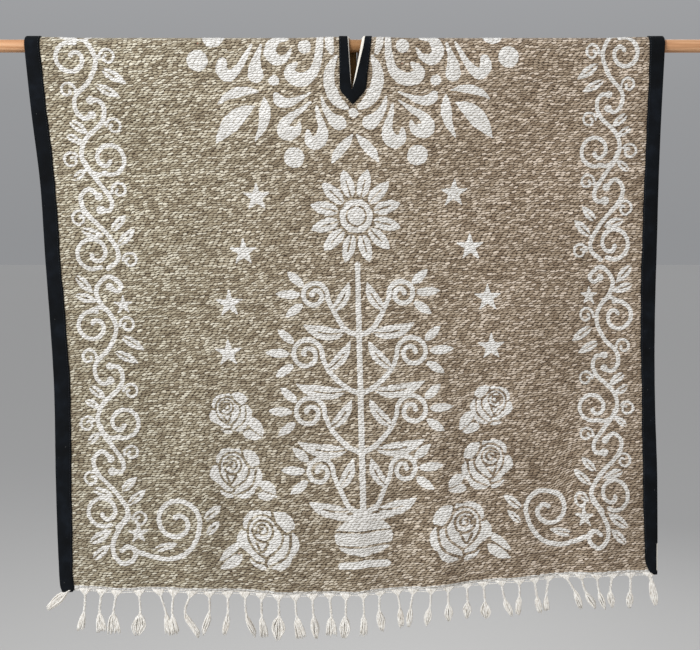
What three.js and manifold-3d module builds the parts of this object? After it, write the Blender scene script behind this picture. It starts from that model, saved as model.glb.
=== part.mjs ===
// A woven poncho hung over a wooden rod: one cloth with a neck slit, black tape on its edges, a fringe on both hems.
// Millimetres: +x is the viewer's right, the front faces -y, +z is up, and the rod's axis lies along x through the origin.

import * as THREE from "three";
import Module from "manifold-3d";

const wasm = await Module();
wasm.setup();

// Driving dimensions

const ROD = { radius: 12, left: -745, right: 705, sides: 40 };
const WALL = 2.4; // thickness of the woven cloth
const SEAT = 0.5; // clearance between the rod and what lies on it
const GAP = 0.3; // clearance between pieces that are sewn together
const TAPE = { thickness: 1.6, pastHem: 5 };
const BACK_SHORTER = 92; // how much higher the back hem hangs than the front one
const STRIP = { below: 0.35, height: 2 }; // the row of twisted weft that carries the fringe

// Half the thickness of the cloth, then of the cloth between the two legs of a tape
const HALF_WALL = WALL / 2;
const TAPE_INSIDE = HALF_WALL + GAP;
const TAPE_OUTSIDE = TAPE_INSIDE + TAPE.thickness;

// Middle of the cloth over the rod, and how far the tape under an edge lifts it there
const FOLD_RADIUS = ROD.radius + SEAT + HALF_WALL;
const TAPE_LIFT = TAPE.thickness + GAP;
const NECK_QUARTER = ((FOLD_RADIUS + TAPE_LIFT) * Math.PI) / 2; // a quarter turn of the cloth at the neck

// Side edges of the cloth, by depth below the rod's axis
const EDGES = [
  { depth: 0, left: -611, right: 573 },
  { depth: 120, left: -599, right: 568.5 },
  { depth: 250, left: -587, right: 567 },
  { depth: 400, left: -580.5, right: 567 },
  { depth: 520, left: -574, right: 567 },
  { depth: 650, left: -571, right: 572 },
  { depth: 820, left: -571.5, right: 579 },
  { depth: 1000, left: -569, right: 584.5 },
  { depth: 1060, left: -566, right: 584 },
];

// Front hem, by distance from the middle
const HEM = [
  { x: -620, drop: 1030 },
  { x: -480, drop: 1036 },
  { x: -300, drop: 1038 },
  { x: -110, drop: 1046 },
  { x: 60, drop: 1039 },
  { x: 250, drop: 1022 },
  { x: 420, drop: 1007 },
  { x: 600, drop: 1002 },
];

// Tapes on the side edges: the width that shows, at the rod and at the hem
const SIDE_TAPES = {
  left: { atRod: 30, atHem: 26 },
  right: { atRod: 27, atHem: 24.5 },
};

// Soft folds that hang outwards and deepen towards the hem
const FOLDS = [
  { side: 1, x: -452, width: 128, depth: 7, from: 420 },
  { side: 1, x: -300, width: 150, depth: 9, from: 330 },
  { side: 1, x: -142, width: 140, depth: 6, from: 520 },
  { side: 1, x: 6, width: 120, depth: 9, from: 600 },
  { side: 1, x: 158, width: 140, depth: 13, from: 360 },
  { side: 1, x: 318, width: 150, depth: 7, from: 450 },
  { side: 1, x: 470, width: 130, depth: 9, from: 560 },
  { side: -1, x: -440, width: 150, depth: 10, from: 340 },
  { side: -1, x: -262, width: 160, depth: 7, from: 460 },
  { side: -1, x: -84, width: 140, depth: 12, from: 300 },
  { side: -1, x: 96, width: 150, depth: 8, from: 420 },
  { side: -1, x: 284, width: 160, depth: 11, from: 280 },
  { side: -1, x: 462, width: 130, depth: 7, from: 480 },
];

// Neck slit and the outline of its tape, by distance along the cloth from the top of the rod, front positive
const SLIT = [
  { run: -186, left: 8, right: 10.5 },
  { run: -48, left: 1.5, right: 5.5 },
  { run: 0, left: -12.5, right: 15 },
  { run: 104, left: -6.8, right: -4.8 },
];
const NECK_TAPE = [
  { run: -214, left: 9, right: 10 },
  { run: -190, left: -15, right: 34 },
  { run: -60, left: -22, right: 30 },
  { run: 0, left: -30, right: 31.6 },
  { run: 108, left: -28.6, right: 20 },
  { run: 134, left: -5, right: -4 },
];

// Tassels from the left corner to the right: how far the tip swings aside, and the width of the loose tuft
const TASSELS = [
  { swing: -50, tuft: 14 },
  { swing: -12, tuft: 16 },
  { swing: -3, tuft: 21 },
  { swing: -8, tuft: 28 },
  { swing: -4, tuft: 30 },
  { swing: 20, tuft: 17 },
  { swing: 2, tuft: 14 },
  { swing: 10, tuft: 13 },
  { swing: -12, tuft: 14 },
  { swing: -7, tuft: 14 },
  { swing: 18, tuft: 14 },
  { swing: 4, tuft: 18 },
  { swing: -2, tuft: 31 },
  { swing: 11, tuft: 22 },
  { swing: 7, tuft: 18 },
  { swing: 4, tuft: 24 },
  { swing: -4, tuft: 22 },
  { swing: 1, tuft: 16 },
  { swing: 4, tuft: 18 },
  { swing: 9, tuft: 14 },
  { swing: -9, tuft: 12 },
  { swing: -10, tuft: 15 },
  { swing: 3, tuft: 17 },
  { swing: 1, tuft: 18 },
  { swing: 6, tuft: 22 },
  { swing: 20, tuft: 14 },
  { swing: -2, tuft: 13 },
  { swing: 13, tuft: 13 },
  { swing: -4, tuft: 13 },
  { swing: 34, tuft: 14 },
  { swing: 29, tuft: 14 },
  { swing: 17, tuft: 12 },
  { swing: 0, tuft: 15 },
  { swing: -1, tuft: 15 },
  { swing: 16, tuft: 15 },
];
const FIRST_TASSELS = { corner: -546, second: -523, last: 568 };
const TASSEL_LENGTH = [
  { x: -600, drop: 84 },
  { x: -400, drop: 92 },
  { x: 0, drop: 90 },
  { x: 160, drop: 72 },
  { x: 600, drop: 68 },
];
const CORNER_DROP = 44; // the first tassel lies over sideways

// Parts of a tassel: how far down it, how much of its swing, half its width and half its thickness there
const TASSEL_SECTIONS = [
  { down: 0.013, swung: 0, half: 6.5, thick: 1 },
  { down: 0.19, swung: 0.02, half: 2, thick: 1.8 },
  { down: 0.47, swung: 0.3, half: 2, thick: 2 },
  { down: 0.72, swung: 0.65, halfOfTuft: 0.42, thick: 3.2 },
  { down: 1, swung: 1, halfOfTuft: 0.5, thick: 2.6 },
];

// Where the surface has its rows and columns
const ROWS = { front: 12, fold: 10, back: 10 };
const FLAT_BY_TAPE = 36; // the cloth lies flat this far in from a taped edge
const LIFT_ENDS = 112; // and lies on the rod again this far in
const NECK_LIFT_FADES = { from: 150, to: 330 };
const CELLS_EACH_SIDE = 15;
const NOMINAL_DROP = 1020; // used to find a column's place before its own drop is known
const FOLDS_FULL = 1000; // depth at which every fold has reached its full size
const BEYOND_HEM_X = 600; // outside both side edges, where the hem's table is level
const TAPE_ROUNDING = 0.4; // bevel on the folded edge of a tape
const CUTTER_EXTRA = 1; // how far a cutting body stands out of what it cuts
const SMALL_STEP = 1e-3; // for the direction of the surface

// Smooth reading of a table: a cubic through its rows, flat past both ends
function read(table, key, column, at) {
  const last = table.length - 1;
  if (at <= table[0][key]) return table[0][column];
  if (at >= table[last][key]) return table[last][column];
  const i = table.findIndex((row) => row[key] > at) - 1;
  const slope = (k) => {
    const before = table[Math.max(0, k - 1)];
    const after = table[Math.min(last, k + 1)];
    return (after[column] - before[column]) / (after[key] - before[key]);
  };
  const span = table[i + 1][key] - table[i][key];
  const t = (at - table[i][key]) / span;
  const rise = t * t * (3 - 2 * t);
  const level = table[i][column] * (1 - rise) + table[i + 1][column] * rise;
  const bend = slope(i) * t * (1 - t) ** 2 - slope(i + 1) * t * t * (1 - t);
  return level + span * bend;
}

// Straight reading of a table, for outlines with corners
function readStraight(table, column, run) {
  const held = Math.min(table[table.length - 1].run, Math.max(table[0].run, run));
  const i = Math.max(0, table.findIndex((row) => row.run >= held) - 1);
  const t = (held - table[i].run) / (table[i + 1].run - table[i].run);
  return table[i][column] * (1 - t) + table[i + 1][column] * t;
}

const smooth = (value, from, to) => THREE.MathUtils.smoothstep(value, from, to);

// The cloth's middle surface. u runs across it from 0 to 1.
// v is 2 at the front hem, 1 where the front leaves the rod, 0 on top, -1 and -2 behind.

const edge = (side, depth) => read(EDGES, "depth", side, depth);

function dropAt(x, v) {
  return read(HEM, "x", "drop", x) - (v < 0 ? BACK_SHORTER : 0);
}

function acrossAt(u, depth) {
  const left = edge("left", depth);
  return left + (edge("right", depth) - left) * u;
}

// Extra distance from the rod, over the inner legs of the tapes
function liftAt(u, x, depth) {
  const width = edge("right", depth) - edge("left", depth);
  const fromEdge = Math.min(u, 1 - u) * width;
  const bySide = 1 - smooth(fromEdge, FLAT_BY_TAPE, LIFT_ENDS);
  const byNeck =
    (1 - smooth(Math.abs(x), FLAT_BY_TAPE, LIFT_ENDS)) *
    (1 - smooth(depth, NECK_LIFT_FADES.from, NECK_LIFT_FADES.to));
  return TAPE_LIFT * Math.max(bySide, byNeck);
}

function foldsAt(x, depth, side) {
  let out = 0;
  for (const fold of FOLDS) {
    const aside = (x - fold.x) / fold.width;
    if (fold.side !== side || Math.abs(aside) > 0.5) continue;
    out += fold.depth * Math.cos(Math.PI * aside) ** 2 * smooth(depth, fold.from, FOLDS_FULL);
  }
  return out;
}

function middle(u, v) {
  const side = v < 0 ? -1 : 1;
  const hanging = Math.max(0, Math.abs(v) - 1);
  const nominal = acrossAt(u, hanging * NOMINAL_DROP);
  const depth = hanging * dropAt(nominal, v);
  const x = acrossAt(u, depth);
  const radius = FOLD_RADIUS + liftAt(u, x, depth);
  if (hanging === 0) {
    const angle = (v * Math.PI) / 2;
    return new THREE.Vector3(x, -radius * Math.sin(angle), radius * Math.cos(angle));
  }
  return new THREE.Vector3(x, -side * (radius + foldsAt(x, depth, side)), -depth);
}

// A point at a distance off the middle surface, outwards positive
function offCloth(u, v, out) {
  const across = middle(u + SMALL_STEP, v).sub(middle(u - SMALL_STEP, v));
  const up = middle(u, v - SMALL_STEP).sub(middle(u, v + SMALL_STEP));
  return middle(u, v).addScaledVector(across.cross(up).normalize(), out);
}

// u of a place that is given by its distance from the middle
function acrossTo(x, v) {
  const depth = Math.max(0, Math.abs(v) - 1) * dropAt(x, v);
  const left = edge("left", depth);
  return (x - left) / (edge("right", depth) - left);
}

// v of a place that is given by its distance along the cloth from the top of the rod, near the neck
function alongTo(run) {
  if (Math.abs(run) <= NECK_QUARTER) return run / NECK_QUARTER;
  return Math.sign(run) * (1 + (Math.abs(run) - NECK_QUARTER) / dropAt(0, run));
}

// Rows from the front hem over the rod to the back hem
function clothRows() {
  const rows = [];
  for (let i = 0; i < ROWS.front; i++) rows.push(2 - i / ROWS.front);
  for (let i = 0; i < ROWS.fold; i++) rows.push(1 - (2 * i) / ROWS.fold);
  for (let i = 0; i <= ROWS.back; i++) rows.push(-1 - i / ROWS.back);
  return rows;
}

// Columns: a flat cell beside each side tape, a flat cell at the neck and even ones between
function clothColumns() {
  const width = edge("right", 0) - edge("left", 0);
  const byTape = FLAT_BY_TAPE / width;
  const neckLeft = acrossTo(-FLAT_BY_TAPE, 1);
  const neckRight = acrossTo(FLAT_BY_TAPE, 1);
  const columns = [0];
  for (let i = 0; i <= CELLS_EACH_SIDE; i++)
    columns.push(byTape + ((neckLeft - byTape) * i) / CELLS_EACH_SIDE);
  for (let i = 0; i <= CELLS_EACH_SIDE; i++)
    columns.push(neckRight + ((1 - byTape - neckRight) * i) / CELLS_EACH_SIDE);
  columns.push(1);
  return columns;
}

const rows = clothRows();
const columns = clothColumns();

// A closed body between an outer and an inner grid of points, rows going up the front and columns going right
function slab(rowCount, columnCount, outerAt, innerAt) {
  const points = [];
  const faces = [];
  for (const at of [outerAt, innerAt])
    for (let i = 0; i < rowCount; i++)
      for (let j = 0; j < columnCount; j++) points.push(at(i, j));
  const outer = (i, j) => i * columnCount + j;
  const inner = (i, j) => (rowCount + i) * columnCount + j;
  const quad = (a, b, c, d) => faces.push(a, b, c, a, c, d);
  const lastRow = rowCount - 1;
  const lastColumn = columnCount - 1;
  for (let i = 0; i < lastRow; i++)
    for (let j = 0; j < lastColumn; j++) {
      quad(outer(i, j), outer(i, j + 1), outer(i + 1, j + 1), outer(i + 1, j));
      quad(inner(i, j), inner(i + 1, j), inner(i + 1, j + 1), inner(i, j + 1));
    }
  for (let j = 0; j < lastColumn; j++) {
    quad(outer(0, j), inner(0, j), inner(0, j + 1), outer(0, j + 1));
    quad(outer(lastRow, j), outer(lastRow, j + 1), inner(lastRow, j + 1), inner(lastRow, j));
  }
  for (let i = 0; i < lastRow; i++) {
    quad(outer(i, 0), outer(i + 1, 0), inner(i + 1, 0), inner(i, 0));
    quad(outer(i, lastColumn), inner(i, lastColumn), inner(i + 1, lastColumn), outer(i + 1, lastColumn));
  }
  const mesh = new wasm.Mesh({
    numProp: 3,
    vertProperties: new Float32Array(points.flatMap((p) => p.toArray())),
    triVerts: new Uint32Array(faces),
  });
  return new wasm.Manifold(mesh);
}

// The woven cloth: one length over the rod, with the neck slit cut through it

function clothSolid() {
  const at = (out) => (i, j) => offCloth(columns[j], rows[i], out);
  const whole = slab(rows.length, columns.length, at(HALF_WALL), at(-HALF_WALL));
  const cut = neckSlab(SLIT, TAPE.thickness + GAP, TAPE_OUTSIDE + CUTTER_EXTRA);
  return whole.subtract(cut);
}

// A flat body over the rod with the outline of a table, grown sideways and past its ends
function neckSlab(table, grow, out) {
  const first = table[0].run;
  const last = table[table.length - 1].run;
  const onFold = rows.filter((v) => Math.abs(v) <= 1);
  const runs = [...onFold.map((v) => v * NECK_QUARTER), ...table.map((row) => row.run)]
    .filter((run) => run > first && run < last)
    .concat(first - grow, last + grow)
    .sort((a, b) => b - a)
    .filter((run, i, all) => i === 0 || all[i - 1] - run > 0.01);
  const at = (side) => (i, j) => {
    const run = runs[i];
    const v = alongTo(run);
    const x = j
      ? readStraight(table, "right", run) + grow
      : readStraight(table, "left", run) - grow;
    return offCloth(acrossTo(x, v), v, side * out);
  };
  return slab(runs.length, 2, at(1), at(-1));
}

// The neck tape, folded over the cut edge and mitred to a point at both ends of the slit

function neckBindingSolid() {
  const body = neckSlab(NECK_TAPE, 0, TAPE_OUTSIDE);
  const opening = neckSlab(SLIT, 0, TAPE_OUTSIDE + CUTTER_EXTRA);
  const fold = neckSlab(SLIT, TAPE.thickness, TAPE_OUTSIDE + CUTTER_EXTRA);
  const pocket = neckSlab(NECK_TAPE, CUTTER_EXTRA, TAPE_INSIDE).subtract(fold);
  return body.subtract(opening).subtract(pocket);
}

// A side tape, folded over the edge of the cloth from hem to hem

function sideBindingSolid(side) {
  const widths = SIDE_TAPES[side];
  const right = side === "right";
  const runs = [...rows];
  runs[0] += TAPE.pastHem / dropAt(0, 1);
  runs[runs.length - 1] -= TAPE.pastHem / dropAt(0, -1);
  const turn = TAPE.thickness + GAP;
  const outerChain = (leg) => [
    { inward: leg, out: -TAPE_OUTSIDE },
    { inward: TAPE_ROUNDING - turn, out: -TAPE_OUTSIDE },
    { inward: -turn, out: TAPE_ROUNDING - TAPE_OUTSIDE },
    { inward: -turn, out: TAPE_OUTSIDE - TAPE_ROUNDING },
    { inward: TAPE_ROUNDING - turn, out: TAPE_OUTSIDE },
    { inward: leg, out: TAPE_OUTSIDE },
  ];
  const innerChain = (leg) => [
    { inward: leg, out: -TAPE_INSIDE },
    { inward: -GAP, out: -TAPE_INSIDE },
    { inward: -GAP, out: -TAPE_INSIDE / 2 },
    { inward: -GAP, out: TAPE_INSIDE / 2 },
    { inward: -GAP, out: TAPE_INSIDE },
    { inward: leg, out: TAPE_INSIDE },
  ];
  const at = (chainOf) => (i, j) => {
    const v = runs[i];
    const down = Math.max(0, Math.abs(v) - 1);
    const leg = widths.atRod + (widths.atHem - widths.atRod) * down - turn;
    const chain = chainOf(leg);
    const { inward, out } = chain[right ? chain.length - 1 - j : j];
    const depth = down * dropAt(right ? BEYOND_HEM_X : -BEYOND_HEM_X, v);
    const width = edge("right", depth) - edge("left", depth);
    const u = right ? 1 - inward / width : inward / width;
    return offCloth(u, v, out);
  };
  return slab(runs.length, outerChain(0).length, at(outerChain), at(innerChain));
}

// A fringe: a narrow strip just under the hem, with each tassel fused to it at the root

function fringeSolid(side) {
  const under = (u, down) => {
    const hem = middle(u, 2 * side);
    return hem.setZ(hem.z - down);
  };
  const levels = [STRIP.below + STRIP.height, STRIP.below];
  if (side < 0) levels.reverse();
  const strip = (out) => (i, j) => {
    const point = under(columns[j], levels[i]);
    return point.setY(point.y - side * out);
  };
  let fringe = slab(2, columns.length, strip(HALF_WALL), strip(-HALF_WALL));
  TASSELS.forEach((tassel, n) => {
    fringe = fringe.add(tasselSolid(side, tassel, n));
  });
  return fringe;
}

function tasselSolid(side, tassel, n) {
  const { corner, second, last } = FIRST_TASSELS;
  const root = n === 0 ? corner : second + ((last - second) * (n - 1)) / (TASSELS.length - 2);
  const length = n === 0 ? CORNER_DROP : read(TASSEL_LENGTH, "x", "drop", root);
  const hem = middle(acrossTo(root, 2 * side), 2 * side);
  const sections = [...TASSEL_SECTIONS];
  if (side > 0) sections.reverse();
  const at = (out) => (i, j) => {
    const { down, swung, half, halfOfTuft, thick } = sections[i];
    const halfWidth = half ?? halfOfTuft * tassel.tuft;
    return new THREE.Vector3(
      hem.x + tassel.swing * swung + (j ? halfWidth : -halfWidth),
      hem.y - side * out * thick,
      hem.z - length * down,
    );
  };
  return slab(sections.length, 2, at(1), at(-1));
}

// The rod, with plain square ends

function rodMesh() {
  const length = ROD.right - ROD.left;
  const geometry = new THREE.CylinderGeometry(ROD.radius, ROD.radius, length, ROD.sides);
  const mesh = new THREE.Mesh(geometry, WOOD);
  mesh.name = "rod";
  mesh.rotation.z = -Math.PI / 2;
  mesh.position.x = (ROD.left + ROD.right) / 2;
  return mesh;
}

// Materials

const WOOD = new THREE.MeshStandardMaterial({ color: 0xc49470, roughness: 0.6, metalness: 0 });
const WEAVE = new THREE.MeshStandardMaterial({ color: 0x9c9180, roughness: 0.95, metalness: 0 });
const BLACK_TAPE = new THREE.MeshStandardMaterial({ color: 0x14171c, roughness: 0.85, metalness: 0 });
const YARN = new THREE.MeshStandardMaterial({ color: 0xd6d2c8, roughness: 0.95, metalness: 0 });

function meshOf(name, solid, material) {
  const { vertProperties, triVerts } = solid.getMesh();
  const geometry = new THREE.BufferGeometry();
  geometry.setAttribute("position", new THREE.BufferAttribute(vertProperties, 3));
  geometry.setIndex(new THREE.BufferAttribute(triVerts, 1));
  geometry.computeVertexNormals();
  const mesh = new THREE.Mesh(geometry, material);
  mesh.name = name;
  return mesh;
}

const poncho = new THREE.Group();
poncho.add(
  rodMesh(),
  meshOf("cloth", clothSolid(), WEAVE),
  meshOf("binding_left", sideBindingSolid("left"), BLACK_TAPE),
  meshOf("binding_right", sideBindingSolid("right"), BLACK_TAPE),
  meshOf("neck_binding", neckBindingSolid(), BLACK_TAPE),
  meshOf("fringe_front", fringeSolid(1), YARN),
  meshOf("fringe_back", fringeSolid(-1), YARN),
);

export default poncho;
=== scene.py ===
import math

import bpy
import bmesh
import numpy as np
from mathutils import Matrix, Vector, geometry, kdtree


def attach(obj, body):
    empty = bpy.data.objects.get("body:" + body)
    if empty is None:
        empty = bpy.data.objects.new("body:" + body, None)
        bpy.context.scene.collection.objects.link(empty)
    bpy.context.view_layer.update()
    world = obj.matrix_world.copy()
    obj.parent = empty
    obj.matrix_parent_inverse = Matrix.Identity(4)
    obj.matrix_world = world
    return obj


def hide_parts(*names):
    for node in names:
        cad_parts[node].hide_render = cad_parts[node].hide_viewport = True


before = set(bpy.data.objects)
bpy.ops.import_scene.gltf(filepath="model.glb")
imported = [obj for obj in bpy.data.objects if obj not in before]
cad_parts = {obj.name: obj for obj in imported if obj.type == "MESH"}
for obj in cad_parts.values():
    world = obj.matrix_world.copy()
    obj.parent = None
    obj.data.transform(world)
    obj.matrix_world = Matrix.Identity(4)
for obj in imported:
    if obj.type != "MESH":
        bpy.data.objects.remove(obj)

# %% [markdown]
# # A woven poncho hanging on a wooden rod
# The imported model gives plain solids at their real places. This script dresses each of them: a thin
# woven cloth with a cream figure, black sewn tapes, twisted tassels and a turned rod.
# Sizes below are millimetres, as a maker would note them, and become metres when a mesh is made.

MM = 0.001
ROUND = 2 * math.pi
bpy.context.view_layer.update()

# %% [markdown]
# ## Camera and stage
# The photograph is taken square on, a little above the middle of the cloth and tipped down five degrees.
# A pale floor and one large soft lamp, up on the left, give the even daylight of a picture taken outdoors.

# %% Camera
PICTURE_WIDTH = 700
FOCAL_PIXELS = 1077.2
SENSOR_MM = 36.0
CAMERA_PLACE = (-0.0094, -2.0535, -0.3441)
CAMERA_TILT = 85
lens = bpy.data.cameras.new("camera")
lens.sensor_width = SENSOR_MM
lens.lens = FOCAL_PIXELS * SENSOR_MM / PICTURE_WIDTH
camera = bpy.data.objects.new("camera", lens)
camera.location = CAMERA_PLACE
camera.rotation_euler = (math.radians(CAMERA_TILT), 0, 0)
bpy.context.collection.objects.link(camera)
bpy.context.scene.camera = camera
print("lens, mm:", round(lens.lens, 1))

# %% Node helpers, used by every material
def add(tree, kind, inputs=None, **settings):
    """Adds a node. A value that is a socket is linked, any other is set on the socket."""
    node = tree.nodes.new(kind)
    for name, value in settings.items():
        setattr(node, name, value)
    for name, value in (inputs or {}).items():
        if isinstance(value, bpy.types.NodeSocket):
            tree.links.new(value, node.inputs[name])
        else:
            node.inputs[name].default_value = value
    return node


def tree_of(*values):
    """The node tree that the first socket among the values belongs to."""
    return next(value.id_data for value in values if isinstance(value, bpy.types.NodeSocket))


def calc(operation, *values, clamp=False):
    """One step of arithmetic on sockets and numbers."""
    inputs = dict(enumerate(values))
    return add(tree_of(*values), "ShaderNodeMath", inputs, operation=operation, use_clamp=clamp).outputs[0]


def plus(first, second):
    return calc("ADD", first, second)


def minus(first, second):
    return calc("SUBTRACT", first, second)


def times(first, second):
    return calc("MULTIPLY", first, second)


def blend(share, first, second, how="MIX"):
    """Mixes two colours by a share from 0 to 1."""
    inputs = {0: share, 6: first, 7: second}
    tree = tree_of(share, first, second)
    return add(tree, "ShaderNodeMix", data_type="RGBA", blend_type=how, inputs=inputs).outputs[2]


def tinted(colour, shade):
    """A colour multiplied by a shade."""
    return blend(1.0, colour, shade, "MULTIPLY")


def noise(tree, place, scale, detail, roughness=0.5, distortion=0.0):
    """A noise texture at a place. Its output 0 is a height, and Color three of them."""
    return add(tree, "ShaderNodeTexNoise", {
        "Vector": place, "Scale": scale, "Detail": detail, "Roughness": roughness, "Distortion": distortion})


def bands(tree, place, scale, distortion, detail, direction):
    """The height of a texture of even bands."""
    inputs = {"Vector": place, "Scale": scale, "Distortion": distortion, "Detail": detail}
    return add(tree, "ShaderNodeTexWave", inputs, bands_direction=direction).outputs[1]


def split(vector):
    """The three numbers of a vector."""
    return add(tree_of(vector), "ShaderNodeSeparateXYZ", {"Vector": vector}).outputs


def stored(tree, name, output="Fac"):
    """What keep() stored on the mesh under this name."""
    return add(tree, "ShaderNodeAttribute", attribute_name=name).outputs[output]


def object_place(tree):
    return add(tree, "ShaderNodeTexCoord").outputs["Object"]


def ramp(share, stops):
    """A colour ramp from rows of place and colour."""
    node = add(tree_of(share), "ShaderNodeValToRGB", {0: share})
    band = node.color_ramp
    while len(band.elements) < len(stops):
        band.elements.new(0.5)
    for element, (place, colour) in zip(band.elements, stops):
        element.position = place
        element.color = colour
    return node.outputs[0]


def step_up(value, low, high):
    """Rises smoothly from 0 at low to 1 at high."""
    inputs = {"Value": value, "From Min": low, "From Max": high}
    return add(tree_of(value), "ShaderNodeMapRange", inputs, interpolation_type="SMOOTHSTEP").outputs[0]


def daylight(red, green, blue):
    """A colour read as 0 to 255 on screen, as the linear light that a shader takes."""
    light = [((c / 255 + 0.055) / 1.055) ** 2.4 if c > 10 else c / 3294.6 for c in (red, green, blue)]
    return (*light, 1.0)


def shades(*rows):
    """Stops for a ramp, from rows of place, red, green and blue."""
    return [(place, daylight(*colour)) for place, *colour in rows]


def grey(level):
    return (level, level, level, 1.0)


def new_material(name):
    material = bpy.data.materials.new(name)
    material.use_nodes = True
    tree = material.node_tree
    tree.nodes.clear()
    return material, tree


def finish_material(tree, colour, roughness, height, height_mm, sheen=0.0, strength=1.0, shine=0.25):
    """Principled shader with a bump, linked to the output. Plain numbers go on the sockets."""
    bump = add(tree, "ShaderNodeBump", {"Strength": strength, "Distance": height_mm * MM, "Height": height})
    shader = add(tree, "ShaderNodeBsdfPrincipled", {
        "Base Color": colour, "Normal": bump.outputs[0], "Roughness": roughness, "Sheen Weight": sheen,
        "Sheen Roughness": 0.6, "Specular IOR Level": shine})
    add(tree, "ShaderNodeOutputMaterial", {"Surface": shader.outputs[0]})


def dress(piece, material, node=None):
    """Gives a piece its material, hides the solid of the node that it stands for and parents it to the root
    body.
    """
    piece.data.materials.append(material)
    if node:
        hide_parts(node)
    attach(piece, "root")


# %% Floor, lamps and sky
FLOOR_Z = -2.3
FLOOR_HALF = 60.0
floor_mesh = bpy.data.meshes.new("floor")
floor_corners = [(x * FLOOR_HALF, y * FLOOR_HALF, FLOOR_Z) for x, y in ((-1, -1), (1, -1), (1, 1), (-1, 1))]
floor_mesh.from_pydata(floor_corners, [], [(0, 1, 2, 3)])
floor = bpy.data.objects.new("floor", floor_mesh)
bpy.context.collection.objects.link(floor)
floor_material, tree = new_material("pale_floor")
speckle = add(tree, "ShaderNodeTexNoise", {"Scale": 3.0, "Detail": 3.0}).outputs[0]
floor_colour = blend(speckle, (0.52, 0.515, 0.50, 1), (0.56, 0.555, 0.54, 1))
finish_material(tree, floor_colour, 0.9, speckle, 0.1)
floor_mesh.materials.append(floor_material)

LAMPS = (
    # name, place, size, power, colour, what it looks at
    ("window", (-2.5, -3.0, 1.5), 1.9, 172.0, (1.0, 1.0, 1.0), (-0.1, 0.0, -0.4)),
    ("fill", (3.2, -3.0, -0.4), 2.5, 15.0, (1.0, 0.82, 0.68), (0.2, 0.0, -0.7)),
    ("behind", (1.2, 3.2, 1.4), 2.5, 75.0, (1.0, 1.0, 1.0), (0.0, 0.0, -0.5)),
)
for name, place, size, power, colour, target in LAMPS:
    light = bpy.data.lights.new(name, "AREA")
    light.size = size
    light.energy = power
    light.color = colour
    lamp = bpy.data.objects.new(name, light)
    lamp.location = place
    lamp.rotation_euler = (Vector(target) - Vector(place)).to_track_quat("-Z", "Y").to_euler()
    bpy.context.collection.objects.link(lamp)

# The sky is dimmer near the horizon, so that it meets the floor without a line.
sky = bpy.data.worlds.new("sky")
sky.use_nodes = True
sky_tree = sky.node_tree
direction = add(sky_tree, "ShaderNodeTexCoord").outputs["Generated"]
SKY = ((0.0, (0.285, 0.29, 0.30, 1)), (0.12, (0.31, 0.315, 0.325, 1)), (1.0, (0.72, 0.73, 0.76, 1)))
sky_colour = ramp(split(direction)[2], SKY)
sky_tree.links.new(sky_colour, sky_tree.nodes["Background"].inputs[0])
bpy.context.scene.world = sky
bpy.context.scene.view_settings.view_transform = "Standard"
print("lamps:", len(LAMPS))

# %% [markdown]
# ## The shape that the cloth hangs in
# A poncho is one long weaving laid over the rod. Where the cloth lies is worked out once, as a surface:
# give it a place across the rod and a distance along the cloth, and it gives a point in space. The cloth,
# its tapes and its fringes all ask the same surface, so they stay together wherever it folds.

# %% Sizes of the cloth and of the rod
ROD_RADIUS = 12.0
SEAT = 0.5
HALF_WALL = 1.2
SEWN_GAP = 0.3
TAPE_THICKNESS = 1.6
TAPE_PAST_HEM = 5.0
BACK_SHORTER = 92.0
TAPE_INSIDE = HALF_WALL + SEWN_GAP
TAPE_OUTSIDE = TAPE_INSIDE + TAPE_THICKNESS
TAPE_LIFT = TAPE_THICKNESS + SEWN_GAP
FOLD_RADIUS = ROD_RADIUS + SEAT + HALF_WALL
QUARTER = FOLD_RADIUS * math.pi / 2
NECK_QUARTER = (FOLD_RADIUS + TAPE_LIFT) * math.pi / 2

# depth below the rod, left edge, right edge
EDGES = ((0, -613, 574), (120, -603, 570.5), (250, -590, 568.2), (400, -583, 567.8), (520, -577, 567.5),
         (650, -572.5, 571), (820, -573.5, 579.6), (1000, -571.5, 584.5), (1060, -569, 584))
# place across, drop of the front hem
HEM = ((-620, 1030), (-480, 1036), (-300, 1038), (-110, 1046), (60, 1039), (250, 1022), (420, 1007),
       (600, 1002))
# side (front 1, back -1), place across, width, depth, where it starts
FOLDS = ((1, -452, 128, 7, 420), (1, -300, 150, 9, 330), (1, -142, 140, 6, 520), (1, 6, 120, 9, 600),
         (1, 158, 140, 13, 360), (1, 318, 150, 7, 450), (1, 470, 130, 9, 560), (-1, -440, 150, 10, 340),
         (-1, -262, 160, 7, 460), (-1, -84, 140, 12, 300), (-1, 96, 150, 8, 420), (-1, 284, 160, 11, 280),
         (-1, 462, 130, 7, 480))
FOLDS_FULL = 1000
FLAT_BY_TAPE = 36
LIFT_ENDS = 112
NECK_LIFT_FADES = (150, 330)


# %% Reading a table smoothly
def read(table, column, at):
    """A cubic through a table's rows, level past both ends. The first column is the key."""
    keys = np.array([row[0] for row in table], float)
    values = np.array([row[column] for row in table], float)
    last = len(keys) - 1
    before = np.maximum(np.arange(last + 1) - 1, 0)
    after = np.minimum(np.arange(last + 1) + 1, last)
    slopes = (values[after] - values[before]) / (keys[after] - keys[before])
    at = np.clip(at, keys[0], keys[-1])
    i = np.clip(np.searchsorted(keys, at, side="right") - 1, 0, last - 1)
    span = keys[i + 1] - keys[i]
    t = (at - keys[i]) / span
    rise = t * t * (3 - 2 * t)
    bend = slopes[i] * t * (1 - t) ** 2 - slopes[i + 1] * t * t * (1 - t)
    return values[i] * (1 - rise) + values[i + 1] * rise + span * bend


def straight(table, column, at):
    """A table read with straight lines between its rows, for outlines with corners."""
    return np.interp(at, [row[0] for row in table], [row[column] for row in table])


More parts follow.
